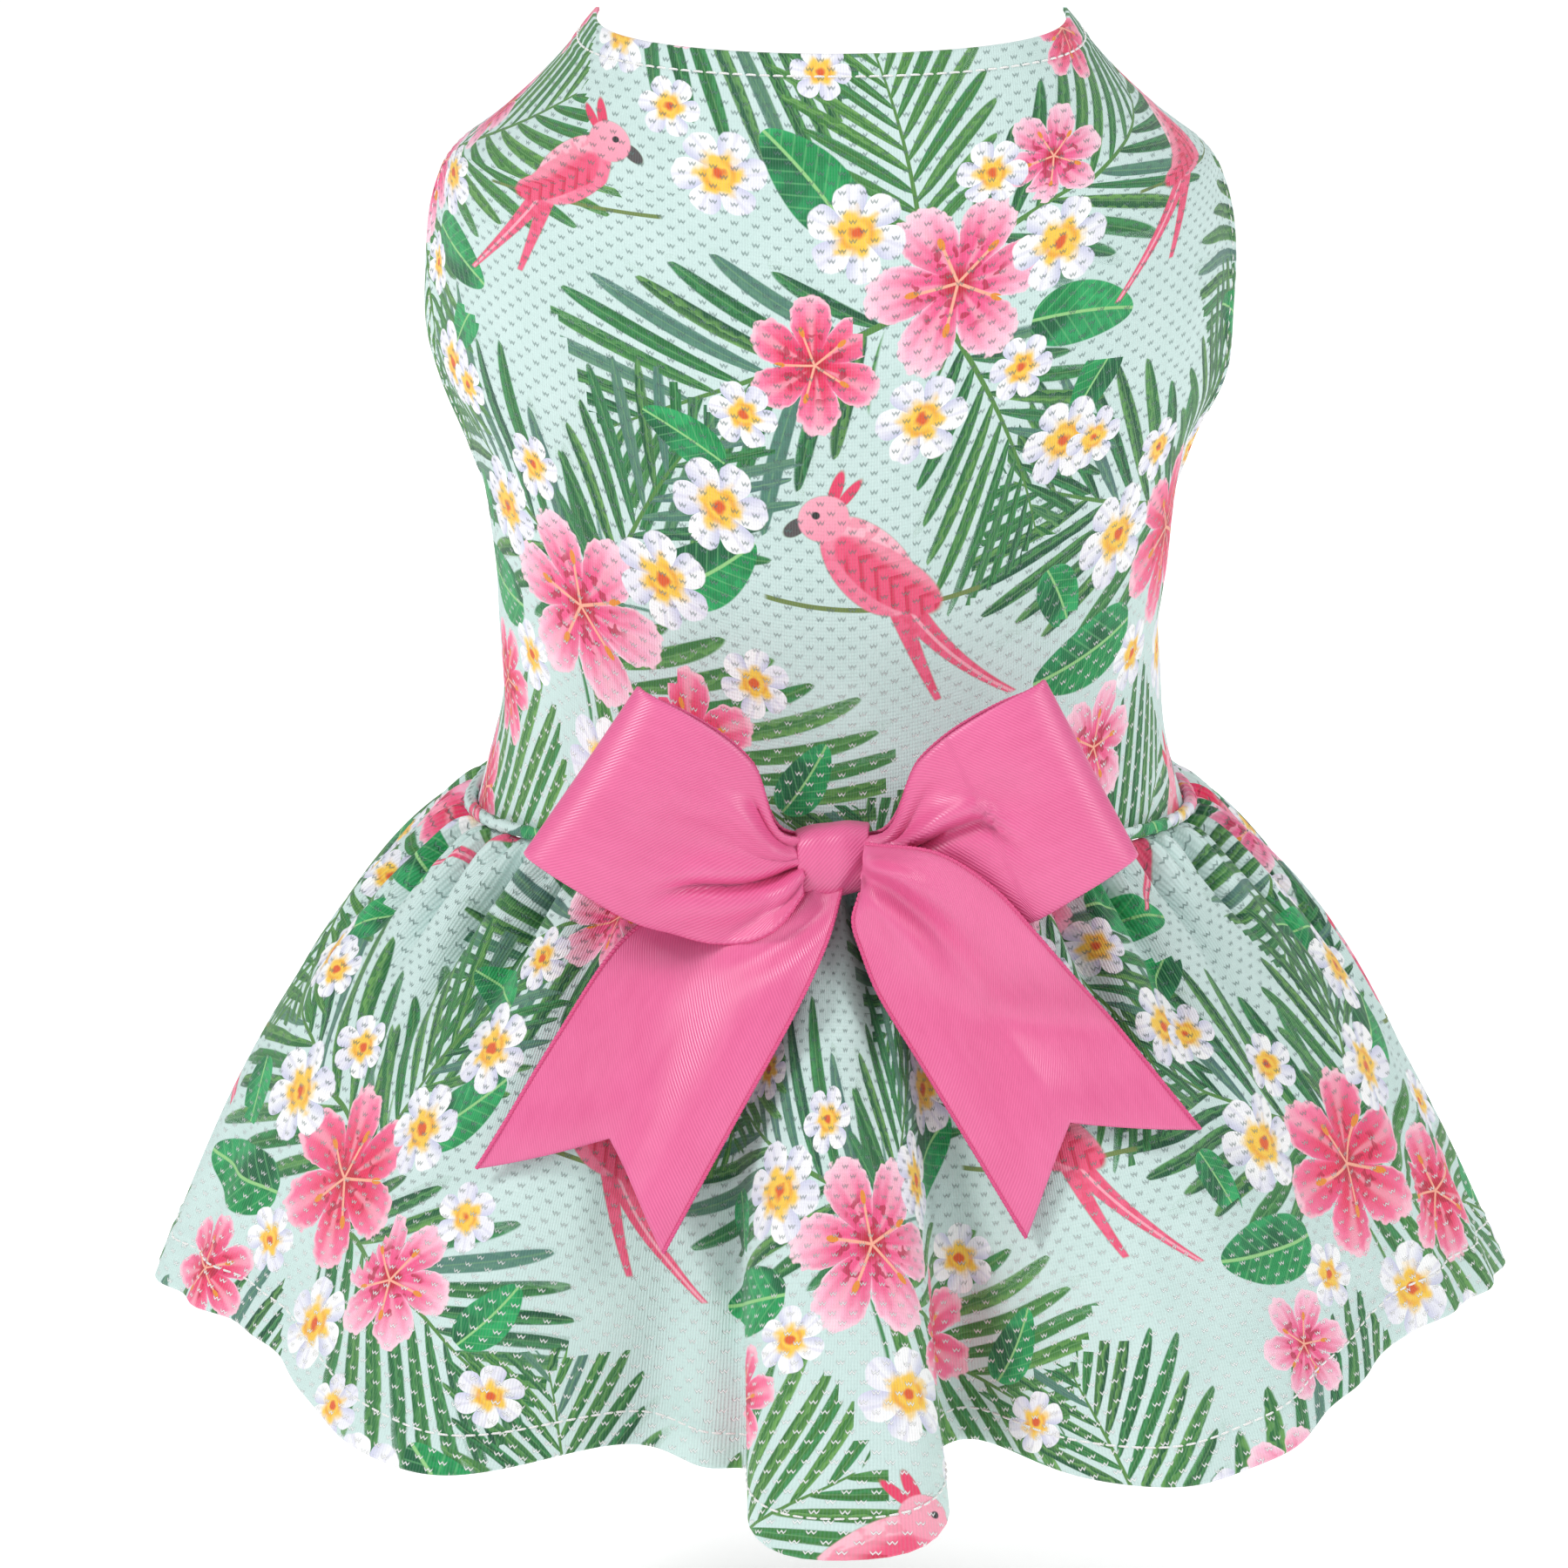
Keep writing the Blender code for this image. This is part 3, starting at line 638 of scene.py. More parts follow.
class Wire:
    # A shader socket that adds the nodes for what is done to it.
    def __init__(self, tree, socket=None):
        self.tree = tree
        self.socket = socket

    def node(self, kind, settings, sockets, output=0):
        made = self.tree.nodes.new("ShaderNode" + kind)
        for name, value in settings.items():
            setattr(made, name, value)
        for name, value in sockets.items():
            if isinstance(value, Wire):
                self.tree.links.new(value.socket, made.inputs[name])
            else:
                made.inputs[name].default_value = value
        return Wire(self.tree, made.outputs[output])

    __add__ = __radd__ = socketMaths("ADD")
    __sub__ = socketMaths("SUBTRACT")
    __rsub__ = socketMaths("SUBTRACT", reflected=True)
    __mul__ = __rmul__ = socketMaths("MULTIPLY")
    __truediv__ = socketMaths("DIVIDE")
    __rtruediv__ = socketMaths("DIVIDE", reflected=True)
    __pow__ = socketMaths("POWER")
    __abs__ = socketMaths("ABSOLUTE")
    sine = socketMaths("SINE")
    arctan = socketMaths("ARCTAN2")
    squareRoot = socketMaths("SQRT")
    floor = socketMaths("FLOOR")
    wrap = socketMaths("FRACT")
    most = socketMaths("MAXIMUM")

    def root(self):
        return self.most(0.0).squareRoot()

    def above(self, edge, soft):
        # 0 below the edge and 1 above it, with a soft step between.
        ends = {"From Min": -soft, "From Max": soft, "To Min": 0.0, "To Max": 1.0}
        kind = {"interpolation_type": "SMOOTHSTEP"}
        return self.node("MapRange", kind, {"Value": self - edge, **ends})

    def below(self, edge, soft):
        return 1.0 - self.above(edge, soft)

    def random(self):
        return self.node("TexWhiteNoise", {"noise_dimensions": "1D"}, {"W": self})

    def parts(self):
        split = self.node("SeparateXYZ", {}, {0: self}).socket.node
        return [Wire(self.tree, output) for output in split.outputs]

    def noise(self, y, scale, detail=1.0):
        place = self.node("CombineXYZ", {}, {"X": self, "Y": y})
        flat = {"noise_dimensions": "2D"}
        return self.node("TexNoise", flat, {"Vector": place, "Scale": scale, "Detail": detail})

    def blend(self, start, end):
        # A colour between two, by this amount. Screen colours have three values and turn linear here.
        colours = [linear(*c) if isinstance(c, tuple) and len(c) == 3 else c for c in (start, end)]
        settings = {"data_type": "RGBA", "clamp_factor": True}
        return self.node("Mix", settings, {0: self, 6: colours[0], 7: colours[1]}, output=2)


def layered(colour, *coats):
    # Coats of colour over one another, each with how much of it covers.
    for amount, coat in coats:
        colour = amount.blend(colour, coat)
    return colour


def newMaterial(name):
    material = bpy.data.materials.new(name)
    material.use_nodes = True
    tree = material.node_tree
    return material, tree, tree.nodes["Principled BSDF"]


def attributeWires(tree, name):
    return Wire(tree).node("Attribute", {"attribute_name": name}, {}, output=1).parts()


# Inside a motif, lengths are shares of its size. A frond, leaf or bird stands on its foot, at 0, and
# reaches up to 1. A flower's petals end at about 1 from its middle.
frondColours = {
    "shadow": (12, 74, 46),
    "leaf": (32, 104, 50),
    "fresh": (62, 122, 46),
    "light": (58, 140, 80),
    "yellow": (112, 166, 84),
    "grey": (96, 132, 134),
    "rib": (136, 186, 120),
    "stem": (84, 134, 62),
}


def archingFrond(x, y, number, grain, blur):
    # Leaflets spring from both sides of a bent stem and droop towards its tip.
    bent, side, root = frondRoot(x, y)
    right = bent.above(0.0, 0.0008)
    pitch = root * frondShape["leaflets"] + right * 0.5
    chance = (pitch.floor() * 1.37 + right * 9.1 + number).random()
    across = pitch.wrap() - 0.5
    start = (root * frondShape["rootScale"] + frondShape["rootStart"]).most(0.0)
    reach = (start * (1.0 - root).most(0.0)).root() * frondShape["reach"] * (0.78 + 0.22 * chance)
    reach = reach * (frondShape["widest"] - frondShape["taper"] * root)
    along = side / reach.most(0.004)
    width = 0.66 * along.root() * (1.0 - along).most(0.0) ** 0.62 + 0.032
    lean = across + (chance - 0.5) * 0.26 * along
    blade = (width - abs(lean)).above(0.0, 0.035) * along.below(0.995, 0.005)
    blade = blade * root.above(0.02, 0.006) * root.below(0.985, 0.006)
    stem = side.below(0.011 - 0.008 * y, 0.0015) * y.above(0.0, 0.004) * y.below(0.97, 0.004)
    fresh = (number * 0.517).random().above(0.62, 0.05)
    dark = chance.above(0.45, 0.3).blend(frondColours["shadow"], frondColours["leaf"])
    dark = (fresh * 0.75).blend(dark, frondColours["fresh"])
    lit = (chance * 5.1).wrap().above(0.5, 0.3).blend(frondColours["light"], frondColours["yellow"])
    streak = (lean * 2.2 + grain * 0.9 + chance * 3.0).wrap()
    grey = (chance * 7.3).wrap().above(0.84, 0.02) * 0.62 * (1.0 - fresh)
    tone = layered(
        dark,
        (streak.above(0.62, 0.20) * 0.60 + lean.above(0.10, 0.1) * 0.30, lit),
        (grey, frondColours["grey"]),
        (abs(lean).below(0.025, 0.025) * 0.35, frondColours["rib"]),
        (stem, frondColours["stem"]),
    )
    return blade.most(stem), tone


leafColours = {
    "dark": (10, 92, 52),
    "light": (18, 142, 74),
    "bright": (46, 178, 104),
    "fleck": (18, 88, 52),
    "vein": (118, 196, 128),
    "midrib": (150, 206, 132),
}


def glossyLeaf(x, y, number, grain, blur):
    # A pointed leaf in two greens with a pale midrib and slanting veins.
    bent = x + 0.12 * (y - 0.5) * (y - 0.5)
    width = ((y + 0.01).most(0.0) * (1.0 - y).most(0.0)).root() * (0.80 - 0.34 * y)
    inside = (width * 0.82 - abs(bent)).above(0.0, 0.008)
    inside = inside * y.above(0.0, 0.006) * y.below(1.0, 0.006)
    tone = layered(
        bent.above(0.0, 0.006).blend(leafColours["dark"], leafColours["light"]),
        (blur.above(0.52, 0.14) * 0.7, leafColours["bright"]),
        (grain.above(0.56, 0.10) * 0.35, leafColours["fleck"]),
        (abs(((y - abs(bent) * 0.9) * 8.0).wrap() - 0.5).below(0.07, 0.06) * 0.40, leafColours["vein"]),
        (abs(bent).below(0.013, 0.006), leafColours["midrib"]),
    )
    return inside, tone


Oval = namedtuple("Oval", "x y length width lean soft")
birdOvals = {
    "trunk": Oval(-0.030, 0.630, 0.215, 0.120, 2.18, 0.004),
    "head": Oval(-0.165, 0.815, 0.088, 0.078, 0.30, 0.004),
    "bill": Oval(-0.262, 0.790, 0.050, 0.026, 0.55, 0.003),
    "crest": Oval(-0.115, 0.905, 0.075, 0.022, 1.15, 0.003),
    "plume": Oval(-0.075, 0.885, 0.070, 0.018, 0.75, 0.003),
    "wing": Oval(0.030, 0.580, 0.225, 0.082, 2.36, 0.005),
    "eye": Oval(-0.190, 0.828, 0.014, 0.013, 0.00, 0.003),
}
TailFeather = namedtuple("TailFeather", "x lean bend width taper edge end")
longFeather = TailFeather(0.055, 0.22, 0.14, 0.040, 1.00, 0.012, 0.985)
shortFeather = TailFeather(0.040, 0.10, 0.05, 0.034, 0.86, 0.010, 0.80)
birdColours = {
    "breast": (252, 186, 202),
    "pink": (244, 122, 154),
    "fleck": (236, 88, 128),
    "feather": (238, 84, 124),
    "vane": (214, 48, 88),
    "wingEdge": (250, 166, 188),
    "twig": (112, 132, 70),
    "tail": (240, 96, 134),
    "tailFleck": (222, 54, 96),
    "quill": (252, 190, 204),
    "crest": (232, 62, 104),
    "bill": (86, 78, 80),
    "cheek": (250, 150, 176),
    "eye": (48, 40, 44),
}


def ovalWires(x, y, oval):
    # What lies inside an oval, and the place along and across it.
    cosine, sine = math.cos(oval.lean), math.sin(oval.lean)
    dx, dy = x - oval.x, y - oval.y
    along = (dx * cosine + dy * sine) / oval.length
    across = (dy * cosine - dx * sine) / oval.width
    distance = (along * along + across * across).root()
    return distance.below(1.0, oval.soft / min(oval.length, oval.width)), along, across


def featherWires(x, fall, feather):
    sweep = x - feather.x - feather.lean * fall - feather.bend * fall * fall
    inside = (feather.width * (feather.taper - fall) + feather.edge - abs(sweep)).above(0.0, 0.004)
    return inside * fall.above(0.0, 0.02) * fall.below(feather.end, 0.01), sweep


def perchedBird(x, y, number, grain, blur):
    # A small crested bird seen from the side on a twig, with two long curved tail feathers.
    shapes = {name: ovalWires(x, y, oval) for name, oval in birdOvals.items()}
    trunk, head, bill, crest, plume, wing, eye = (shapes[name][0] for name in birdOvals)
    bodyAcross, headAcross = shapes["trunk"][2], shapes["head"][2]
    wingAlong, wingAcross = shapes["wing"][1:]
    fall = (0.52 - y) / 0.52
    longVane, sweep = featherWires(x, fall, longFeather)
    tail = longVane.most(featherWires(x, fall, shortFeather)[0])
    twig = abs(y - 0.475 + 0.16 * x - 0.10 * x * x).below(0.0085, 0.002)
    twig = twig * abs(x + 0.03).below(0.36, 0.01)
    feathers = (wingAlong * 3.4 + abs(wingAcross) * 1.2).wrap().above(0.70, 0.16)
    feathers = feathers * wingAlong.below(0.72, 0.1)
    plumage = layered(
        (bodyAcross * 0.5 + blur).above(0.52, 0.35).blend(birdColours["breast"], birdColours["pink"]),
        (grain.above(0.55, 0.08) * 0.45, birdColours["fleck"]),
    )
    vane = feathers.blend(birdColours["feather"], birdColours["vane"])
    vane = (wingAcross.below(-0.45, 0.25) * 0.6).blend(vane, birdColours["wingEdge"])
    face = (blur * 0.6 + headAcross * 0.3).blend(birdColours["cheek"], birdColours["breast"])
    colour = layered(
        tail.blend(birdColours["twig"], birdColours["tail"]),
        (tail * (grain.above(0.5, 0.12) * 0.5), birdColours["tailFleck"]),
        (tail * abs(sweep).below(0.006, 0.003) * 0.7, birdColours["quill"]),
        (trunk, plumage),
        (crest.most(plume), birdColours["crest"]),
        (bill, birdColours["bill"]),
        (head, face),
        (wing, vane),
        (eye, birdColours["eye"]),
    )
    mask = trunk.most(head).most(bill).most(crest.most(plume)).most(tail).most(wing)
    return mask.most(twig), colour


def petalWires(x, y, number, twist):
    # The distance from a flower's middle, the turn round it, and the place across one of six petals.
    radius = (x * x + y * y).root()
    turn = x.arctan(y) / (2 * math.pi) + 0.5
    petal = (turn * 6.0 + twist * radius + number).wrap() - 0.5
    return radius, turn, petal, abs(petal) * 2.0


flowerColours = {
    "pale": (254, 196, 220),
    "palePink": (252, 124, 166),
    "deep": (246, 96, 152),
    "deepRed": (232, 36, 86),
    "vein": (232, 64, 116),
    "shade": (226, 66, 122),
    "ridge": (255, 214, 226),
    "fringe": (255, 226, 234),
    "freckle": (176, 22, 62),
    "throat": (190, 20, 52),
    "filament": (250, 176, 150),
    "tip": (232, 142, 46),
}


def sixPetalFlower(x, y, number, grain, blur):
    # Six ruffled petals round a deep throat with freckles and a ring of loose stamens.
    radius, turn, petal, spread = petalWires(x, y, number, 0.10)
    edge = 0.44 + 0.54 * (1.0 - spread**2.1).most(0.0) ** 0.62 + (grain - 0.5) * 0.16
    fringe = radius / edge.most(0.1)
    which = (number * 0.731).random().above(0.45, 0.02)
    pale = which.blend(flowerColours["pale"], flowerColours["palePink"])
    deep = which.blend(flowerColours["deep"], flowerColours["deepRed"])
    vein = ((petal * 34.0 + grain * 2.0).sine() * 0.5 + 0.5) * fringe.below(0.90, 0.25)
    ray = ((turn * 5.0 + 0.3 + number).wrap() - 0.5) * (2 * math.pi / 5) * radius
    tipOut, tipAcross = (radius - 0.49) / 0.075, ray / 0.036
    tone = layered(
        (fringe + blur * 0.3).below(0.80, 0.30).blend(pale, deep),
        (vein * 0.30, flowerColours["vein"]),
        (petal.below(-0.30, 0.16) * 0.5, flowerColours["shade"]),
        (spread.below(0.16, 0.12) * 0.35, flowerColours["ridge"]),
        (fringe.above(0.92, 0.06) * 0.55, flowerColours["fringe"]),
        (grain.above(0.60, 0.03) * fringe.below(0.52, 0.08) * 0.8, flowerColours["freckle"]),
        (radius.below(0.17, 0.09), flowerColours["throat"]),
        (abs(ray).below(0.016, 0.007) * radius.below(0.46, 0.01), flowerColours["filament"]),
        ((tipOut * tipOut + tipAcross * tipAcross).below(1.0, 0.2), flowerColours["tip"]),
    )
    return radius.below(edge, 0.014), tone


blossomColours = {
    "white": (252, 252, 253),
    "shade": (192, 194, 226),
    "cloud": (216, 214, 238),
    "crease": (206, 204, 228),
    "gold": (250, 204, 74),
    "dots": (234, 140, 40),
    "heart": (224, 92, 40),
}


def whiteBlossom(x, y, number, grain, blur):
    # Six round petals, white with cool shading, and a golden heart dotted with orange.
    radius, turn, petal, spread = petalWires(x, y, number, 0.16)
    edge = 0.54 + 0.43 * (1.0 - spread**2.4).most(0.0).root() + (grain - 0.5) * 0.08
    shade = petal.below(-0.24, 0.26) * radius.above(0.24, 0.2)
    dots = ((turn * 11.0).sine() * 0.5 + 0.5) * abs(radius - 0.29).below(0.05, 0.05)
    tone = layered(
        (shade * 0.80).blend(blossomColours["white"], blossomColours["shade"]),
        (blur.above(0.54, 0.1) * 0.38, blossomColours["cloud"]),
        (spread.below(0.10, 0.08) * radius.above(0.40, 0.1) * 0.45, blossomColours["crease"]),
        ((radius + (grain - 0.5) * 0.3).below(0.50 - 0.14 * spread, 0.13), blossomColours["gold"]),
        (dots * 0.6, blossomColours["dots"]),
        ((radius + (grain - 0.5) * 0.2).below(0.13, 0.06), blossomColours["heart"]),
    )
    return radius.below(edge, 0.02), tone


# From the bottom layer up: what draws each layer's motifs, and what tells whether one covers a place.
PrintLayer = namedtuple("PrintLayer", "draw covers")
printLayers = {
    "frondBack": PrintLayer(archingFrond, insideFrond),
    "frondFront": PrintLayer(archingFrond, insideFrond),
    "leaf": PrintLayer(glossyLeaf, insideLeaf),
    "bird": PrintLayer(perchedBird, insideBird),
    "flower": PrintLayer(sixPetalFlower, insideRound),
    "blossom": PrintLayer(whiteBlossom, insideRound),
    "bud": PrintLayer(whiteBlossom, insideRound),
}
finishesAPiece = 12

clothLook = {
    "ground": (209, 230, 227),
    "groundShade": (199, 223, 219),
    "wrongSide": (232, 241, 238),
    "walePitch": 0.00047,
    "eyeletPitch": 0.0036,
    "eyeletRow": 0.00165,
    "eyelet": (104, 136, 132),
    # The painted glint: eyelets low on the skirt are painted this near white.
    "paintedGlint": (252, 254, 253),
    "glintBelow": -0.098,
    "roughness": 0.72,
    "sheen": 0.18,
    "sheenRoughness": 0.45,
    "specular": 0.3,
    "bump": 0.00022,
    "waleShade": (138, 170, 162),
    "waleDepth": 0.13,
    "eyeletDepth": 0.55,
    "glintDepth": 0.25,
    "glintSoft": 0.02,
    "cloudScale": 95.0,
    "grainScale": 520.0,
    "waleRelief": 0.16,
    "courseRelief": 0.08,
    "bumpStrength": 0.9,
    "fadeLeast": 0.56,
    "fadeCloud": 0.30,
}
# An eyelet's vee, in millimetres from its middle.
eyeletShape = {"halfWidth": 0.62, "wing": 0.30, "slope": 1.5, "rise": 0.22, "stroke": 0.17, "soft": 0.10}


def knit(across, up):
    # Fine upright wales, and eyelets shaped like small open vees in staggered rows.
    rows = up / clothLook["eyeletRow"]
    stagger = (rows.floor() * 0.5).wrap()
    columns = across / clothLook["eyeletPitch"] + stagger
    x = abs(columns.wrap() - 0.5) * clothLook["eyeletPitch"] * 1000
    y = (rows.wrap() - 0.5) * clothLook["eyeletRow"] * 1000
    vee = abs(x - eyeletShape["wing"]) * eyeletShape["slope"] - eyeletShape["rise"]
    eyelet = abs(y - vee).below(eyeletShape["stroke"], eyeletShape["soft"])
    eyelet = eyelet * x.below(eyeletShape["halfWidth"], eyeletShape["soft"])
    wale = (across * (2 * math.pi / clothLook["walePitch"])).sine()
    course = (up * (2 * math.pi / (clothLook["walePitch"] * 1.3)) + wale * 0.8).sine()
    return eyelet, wale, course


def clothPlace(tree):
    return Wire(tree).node("UVMap", {"uv_map": "cloth"}, {}).parts()[:2]


def finishSurface(tree, shader, colour, height, look):
    # Joins a colour and a relief to a finish.
    relief = {"Height": height, "Strength": look["bumpStrength"], "Distance": look["bump"]}
    bump = colour.node("Bump", {}, relief)
    tree.links.new(colour.socket, shader.inputs["Base Color"])
    tree.links.new(bump.socket, shader.inputs["Normal"])


def finishSheen(shader, look):
    sheen = {"Sheen Weight": look["sheen"], "Sheen Roughness": look["sheenRoughness"]}
    setInputs(shader, {"Specular IOR Level": look["specular"], **sheen})


def finishKnit(tree, shader, colour, across, up, faded):
    eyelet, wale, course = knit(across, up)
    colour = ((wale * 0.5 + 0.5) * clothLook["waleDepth"]).blend(colour, clothLook["waleShade"])
    # Low on the skirt the eyelets are painted near white, a painted glint of light on them.
    paintedGlint = up.below(clothLook["glintBelow"], clothLook["glintSoft"]) * (1.0 - faded)
    hole = paintedGlint.blend(clothLook["eyelet"], clothLook["paintedGlint"])
    shows = clothLook["eyeletDepth"] + clothLook["glintDepth"] * paintedGlint
    colour = (eyelet * shows).blend(colour, hole)
    height = wale * clothLook["waleRelief"] + course * clothLook["courseRelief"] - eyelet
    finishSurface(tree, shader, colour, height, clothLook)
    setInputs(shader, {"Roughness": clothLook["roughness"]})
    finishSheen(shader, clothLook)


printFinishes = {}


def printedCloth(key, reverse=False):
    # The printed mesh with those layers of the print whose bits are in the key. On the wrong side
    # the print only shows through, faded.
    if (key, reverse) in printFinishes:
        return printFinishes[key, reverse]
    material, tree, shader = newMaterial(f"printed mesh {'reverse' if reverse else key}")
    across, up = clothPlace(tree)
    blur = across.noise(up, clothLook["cloudScale"])
    grain = across.noise(up, clothLook["grainScale"])
    colour = blur.blend(clothLook["ground"], clothLook["groundShade"])
    for bit, (name, layer) in enumerate(printLayers.items()):
        if key & (1 << bit):
            mask, paint = layer.draw(*attributeWires(tree, name), grain, blur)
            colour = mask.blend(colour, paint)
    if reverse:
        fade = blur * clothLook["fadeCloud"] + clothLook["fadeLeast"]
        colour = fade.blend(colour, clothLook["wrongSide"])
    finishKnit(tree, shader, colour, across, up, float(reverse))
    printFinishes[key, reverse] = material
    return material


satinLook = {
    "light": (239, 112, 166),
    "deep": (210, 76, 130),
    "twillPitch": 0.00064,
    "twillSlant": 0.80,
    "twillTone": 0.20,
    "slubTone": 0.22,
    "cloudTone": 0.35,
    "leastTone": 0.22,
    "roughness": 0.31,
    "slubRoughness": 0.10,
    "specular": 0.8,
    "sheen": 0.05,
    "sheenRoughness": 0.3,
    "slubStretch": 0.35,
    "slubScale": 520.0,
    "cloudScale": 70.0,
    "twillRelief": 0.7,
    "slubRelief": 0.4,
    "bumpStrength": 0.7,
    "bump": 0.00005,
}


def satin(name):
    # A close diagonal twill with a soft sheen, a little uneven along the ribbon.
    material, tree, shader = newMaterial(name)
    along, across = clothPlace(tree)
    twill = ((along + across * satinLook["twillSlant"]) * (2 * math.pi / satinLook["twillPitch"])).sine()
    slub = (along * satinLook["slubStretch"]).noise(across, satinLook["slubScale"], detail=2.0)
    cloud = along.noise(across, satinLook["cloudScale"])
    tone = twill * satinLook["twillTone"] + slub * satinLook["slubTone"]
    tone = tone + cloud * satinLook["cloudTone"] + satinLook["leastTone"]
    colour = tone.blend(satinLook["deep"], satinLook["light"])
    height = twill * satinLook["twillRelief"] + slub * satinLook["slubRelief"]
    finishSurface(tree, shader, colour, height, satinLook)
    rough = satinLook["roughness"] + satinLook["slubRoughness"] * slub
    tree.links.new(rough.socket, shader.inputs["Roughness"])
    finishSheen(shader, satinLook)
    return material


threadLook = {"twist": 0.0004, "slant": 2.0, "darker": 0.80, "bumpStrength": 0.6, "bump": 0.00008}


def thread(name, colour, roughness):
    # Twisted thread: fine slanting plies.
    material, tree, shader = newMaterial(name)
    along, across = clothPlace(tree)
    turns = along / threadLook["twist"] + across * threadLook["slant"]
    ply = (turns * (2 * math.pi)).sine() * 0.5 + 0.5
    light = linear(*colour)
    dark = (*(threadLook["darker"] * c for c in light[:3]), 1.0)
    finishSurface(tree, shader, ply.blend(dark, light), ply, threadLook)
    setInputs(shader, {"Roughness": roughness})
    return material


def addTubes(name, runs, radiusAt, sides, finish):
    # One mesh of many round threads, each along a run of points.
    vertices, faces, uvs = [], [], []
    turn = np.linspace(0, 2 * math.pi, sides, endpoint=False)
    start = 0
    for points in runs:
        count = len(points)
        tangent = unit(np.gradient(points, axis=0))
        sideways = unit(np.cross(tangent, np.array([0.31, 0.23, 0.92])))  # no run lies this way
        upward = np.cross(sideways, tangent)
        length = lengthAlong(points)
        ring = sideways[:, None] * np.cos(turn)[:, None] + upward[:, None] * np.sin(turn)[:, None]
        vertices.append((points[:, None] + ring * radiusAt(length)[:, None, None]).reshape(-1, 3))
        j, i = np.meshgrid(np.arange(count - 1), np.arange(sides), indexing="ij")
        here, after = (j * sides + i).ravel(), (j * sides + (i + 1) % sides).ravel()
        quads = np.stack([here, after, after + sides, here + sides], -1)
        faces.extend((quads + start).tolist())
        faces.append([start + k for k in range(sides)][::-1])
        faces.append([start + (count - 1) * sides + k for k in range(sides)])
        uvs.append(np.stack([np.repeat(length, sides), np.tile(turn / (2 * math.pi), count)], -1))
        start += count * sides
    mesh = bpy.data.meshes.new(name)
    mesh.from_pydata(np.concatenate(vertices).tolist(), [], faces)
    mesh.materials.append(finish)
    corners = np.array([v for face in faces for v in face])
    setUv(mesh, np.concatenate(uvs)[corners])
    mesh.shade_smooth()
    piece = linked(name, mesh)
    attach(piece, "root")
    return piece


stitching = {
    "pitch": 0.0023,
    "length": 0.0019,
    "radius": 0.00021,
    "lift": 0.00014,
    "sides": 6,
    "points": 6,
    "fullness": 0.6,
}


def stitchRuns(path, normals):
    # Single stitches along a path: each rises out of the cloth and dips back in.
    length = lengthAlong(path)
    share = np.linspace(0, 1, stitching["points"])
    rise = mix(-stitching["radius"], stitching["lift"], np.sin(math.pi * share) ** stitching["fullness"])
    runs = []
    for k in range(int(length[-1] / stitching["pitch"])):
        at = k * stitching["pitch"] + share * stitching["length"]
        if at[-1] > length[-1]:
            break
        runs.append(pointsAt(at, length, path) + pointsAt(at, length, normals) * rise[:, None])
    return runs


def surfacePath(surface, angle, share):
    # Points and ways out along a line on a surface, given as arrays of its two coordinates.
    small = 1e-4
    place = surface(angle, share)
    across = surface(angle + small, share) - surface(angle - small, share)
    down = surface(angle, share + small) - surface(angle, share - small)
    return place, unit(np.cross(down, across))


print("materials")
pinkSatin = satin("pink satin")
edgeSatin = thread("woven ribbon edge", (229, 84, 141), 0.45)
whiteThread = thread("white thread", (252, 252, 250), 0.6)

print("bodice")
bodiceBuild = {
    "thickness": 0.0008,
    "backColumns": 190,
    "bellyColumns": 90,
    "backCrowding": 0.55,
    "bellyCrowding": 0.35,
    "rimReach": 0.0062,
    "rimRows": 14,
    "rowAfterRim": 0.0074,
    "rows": 104,
    "backPrint": (0.074, 0.010),
    "bellyPrint": (0.250, 0.030),
    "seamSlit": 0.00003,
}


def panelRows():
    # Close rows in the turned neck hem, and even ones below it.
    rim = np.linspace(0, bodiceBuild["rimReach"] / body["length"], bodiceBuild["rimRows"])
    rest = np.linspace(bodiceBuild["rowAfterRim"] / body["length"], 1.0, bodiceBuild["rows"])
    return np.concatenate([rim, rest])


def crowded(count, crowding):
    # Columns from 0 to 1 that lie closer together towards both ends.
    share = np.linspace(0, 1, count)
    return share - crowding / (2 * math.pi) * np.sin(2 * math.pi * share)


levels = panelRows()[:, None]
backEdge = body["seamAngle"] - holeHalfAngle() * holeShare(levels)
columns = crowded(bodiceBuild["backColumns"] + 1, bodiceBuild["backCrowding"])[None, :]
backPoints = bodiceCloth(mix(-backEdge, backEdge, columns), levels + 0 * columns)
backUv = arcUv(backPoints, bodiceBuild["backColumns"] // 2, bodiceBuild["backPrint"])
backCloth = clothPiece("back_cloth", backPoints, backUv, bodiceBuild["thickness"])
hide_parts("back_panel")

seamTurn = 2 * bodiceBuild["seamSlit"] / body["waistWidth"]
bellyEdge = body["seamAngle"] + holeHalfAngle() * holeShare(levels) + seamTurn
columns = crowded(bodiceBuild["bellyColumns"] + 1, bodiceBuild["bellyCrowding"])[None, :]
bellyAngles = mix(bellyEdge, 2 * math.pi - bellyEdge, columns)
bellyAngles = np.where(bellyAngles > math.pi, bellyAngles - 2 * math.pi, bellyAngles)
bellyPoints = bodiceCloth(bellyAngles, levels + 0 * columns)
bellyUv = arcUv(bellyPoints, bodiceBuild["bellyColumns"] // 2, bodiceBuild["bellyPrint"])
bellyCloth = clothPiece("belly_cloth", bellyPoints, bellyUv, bodiceBuild["thickness"])
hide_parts("belly_panel")

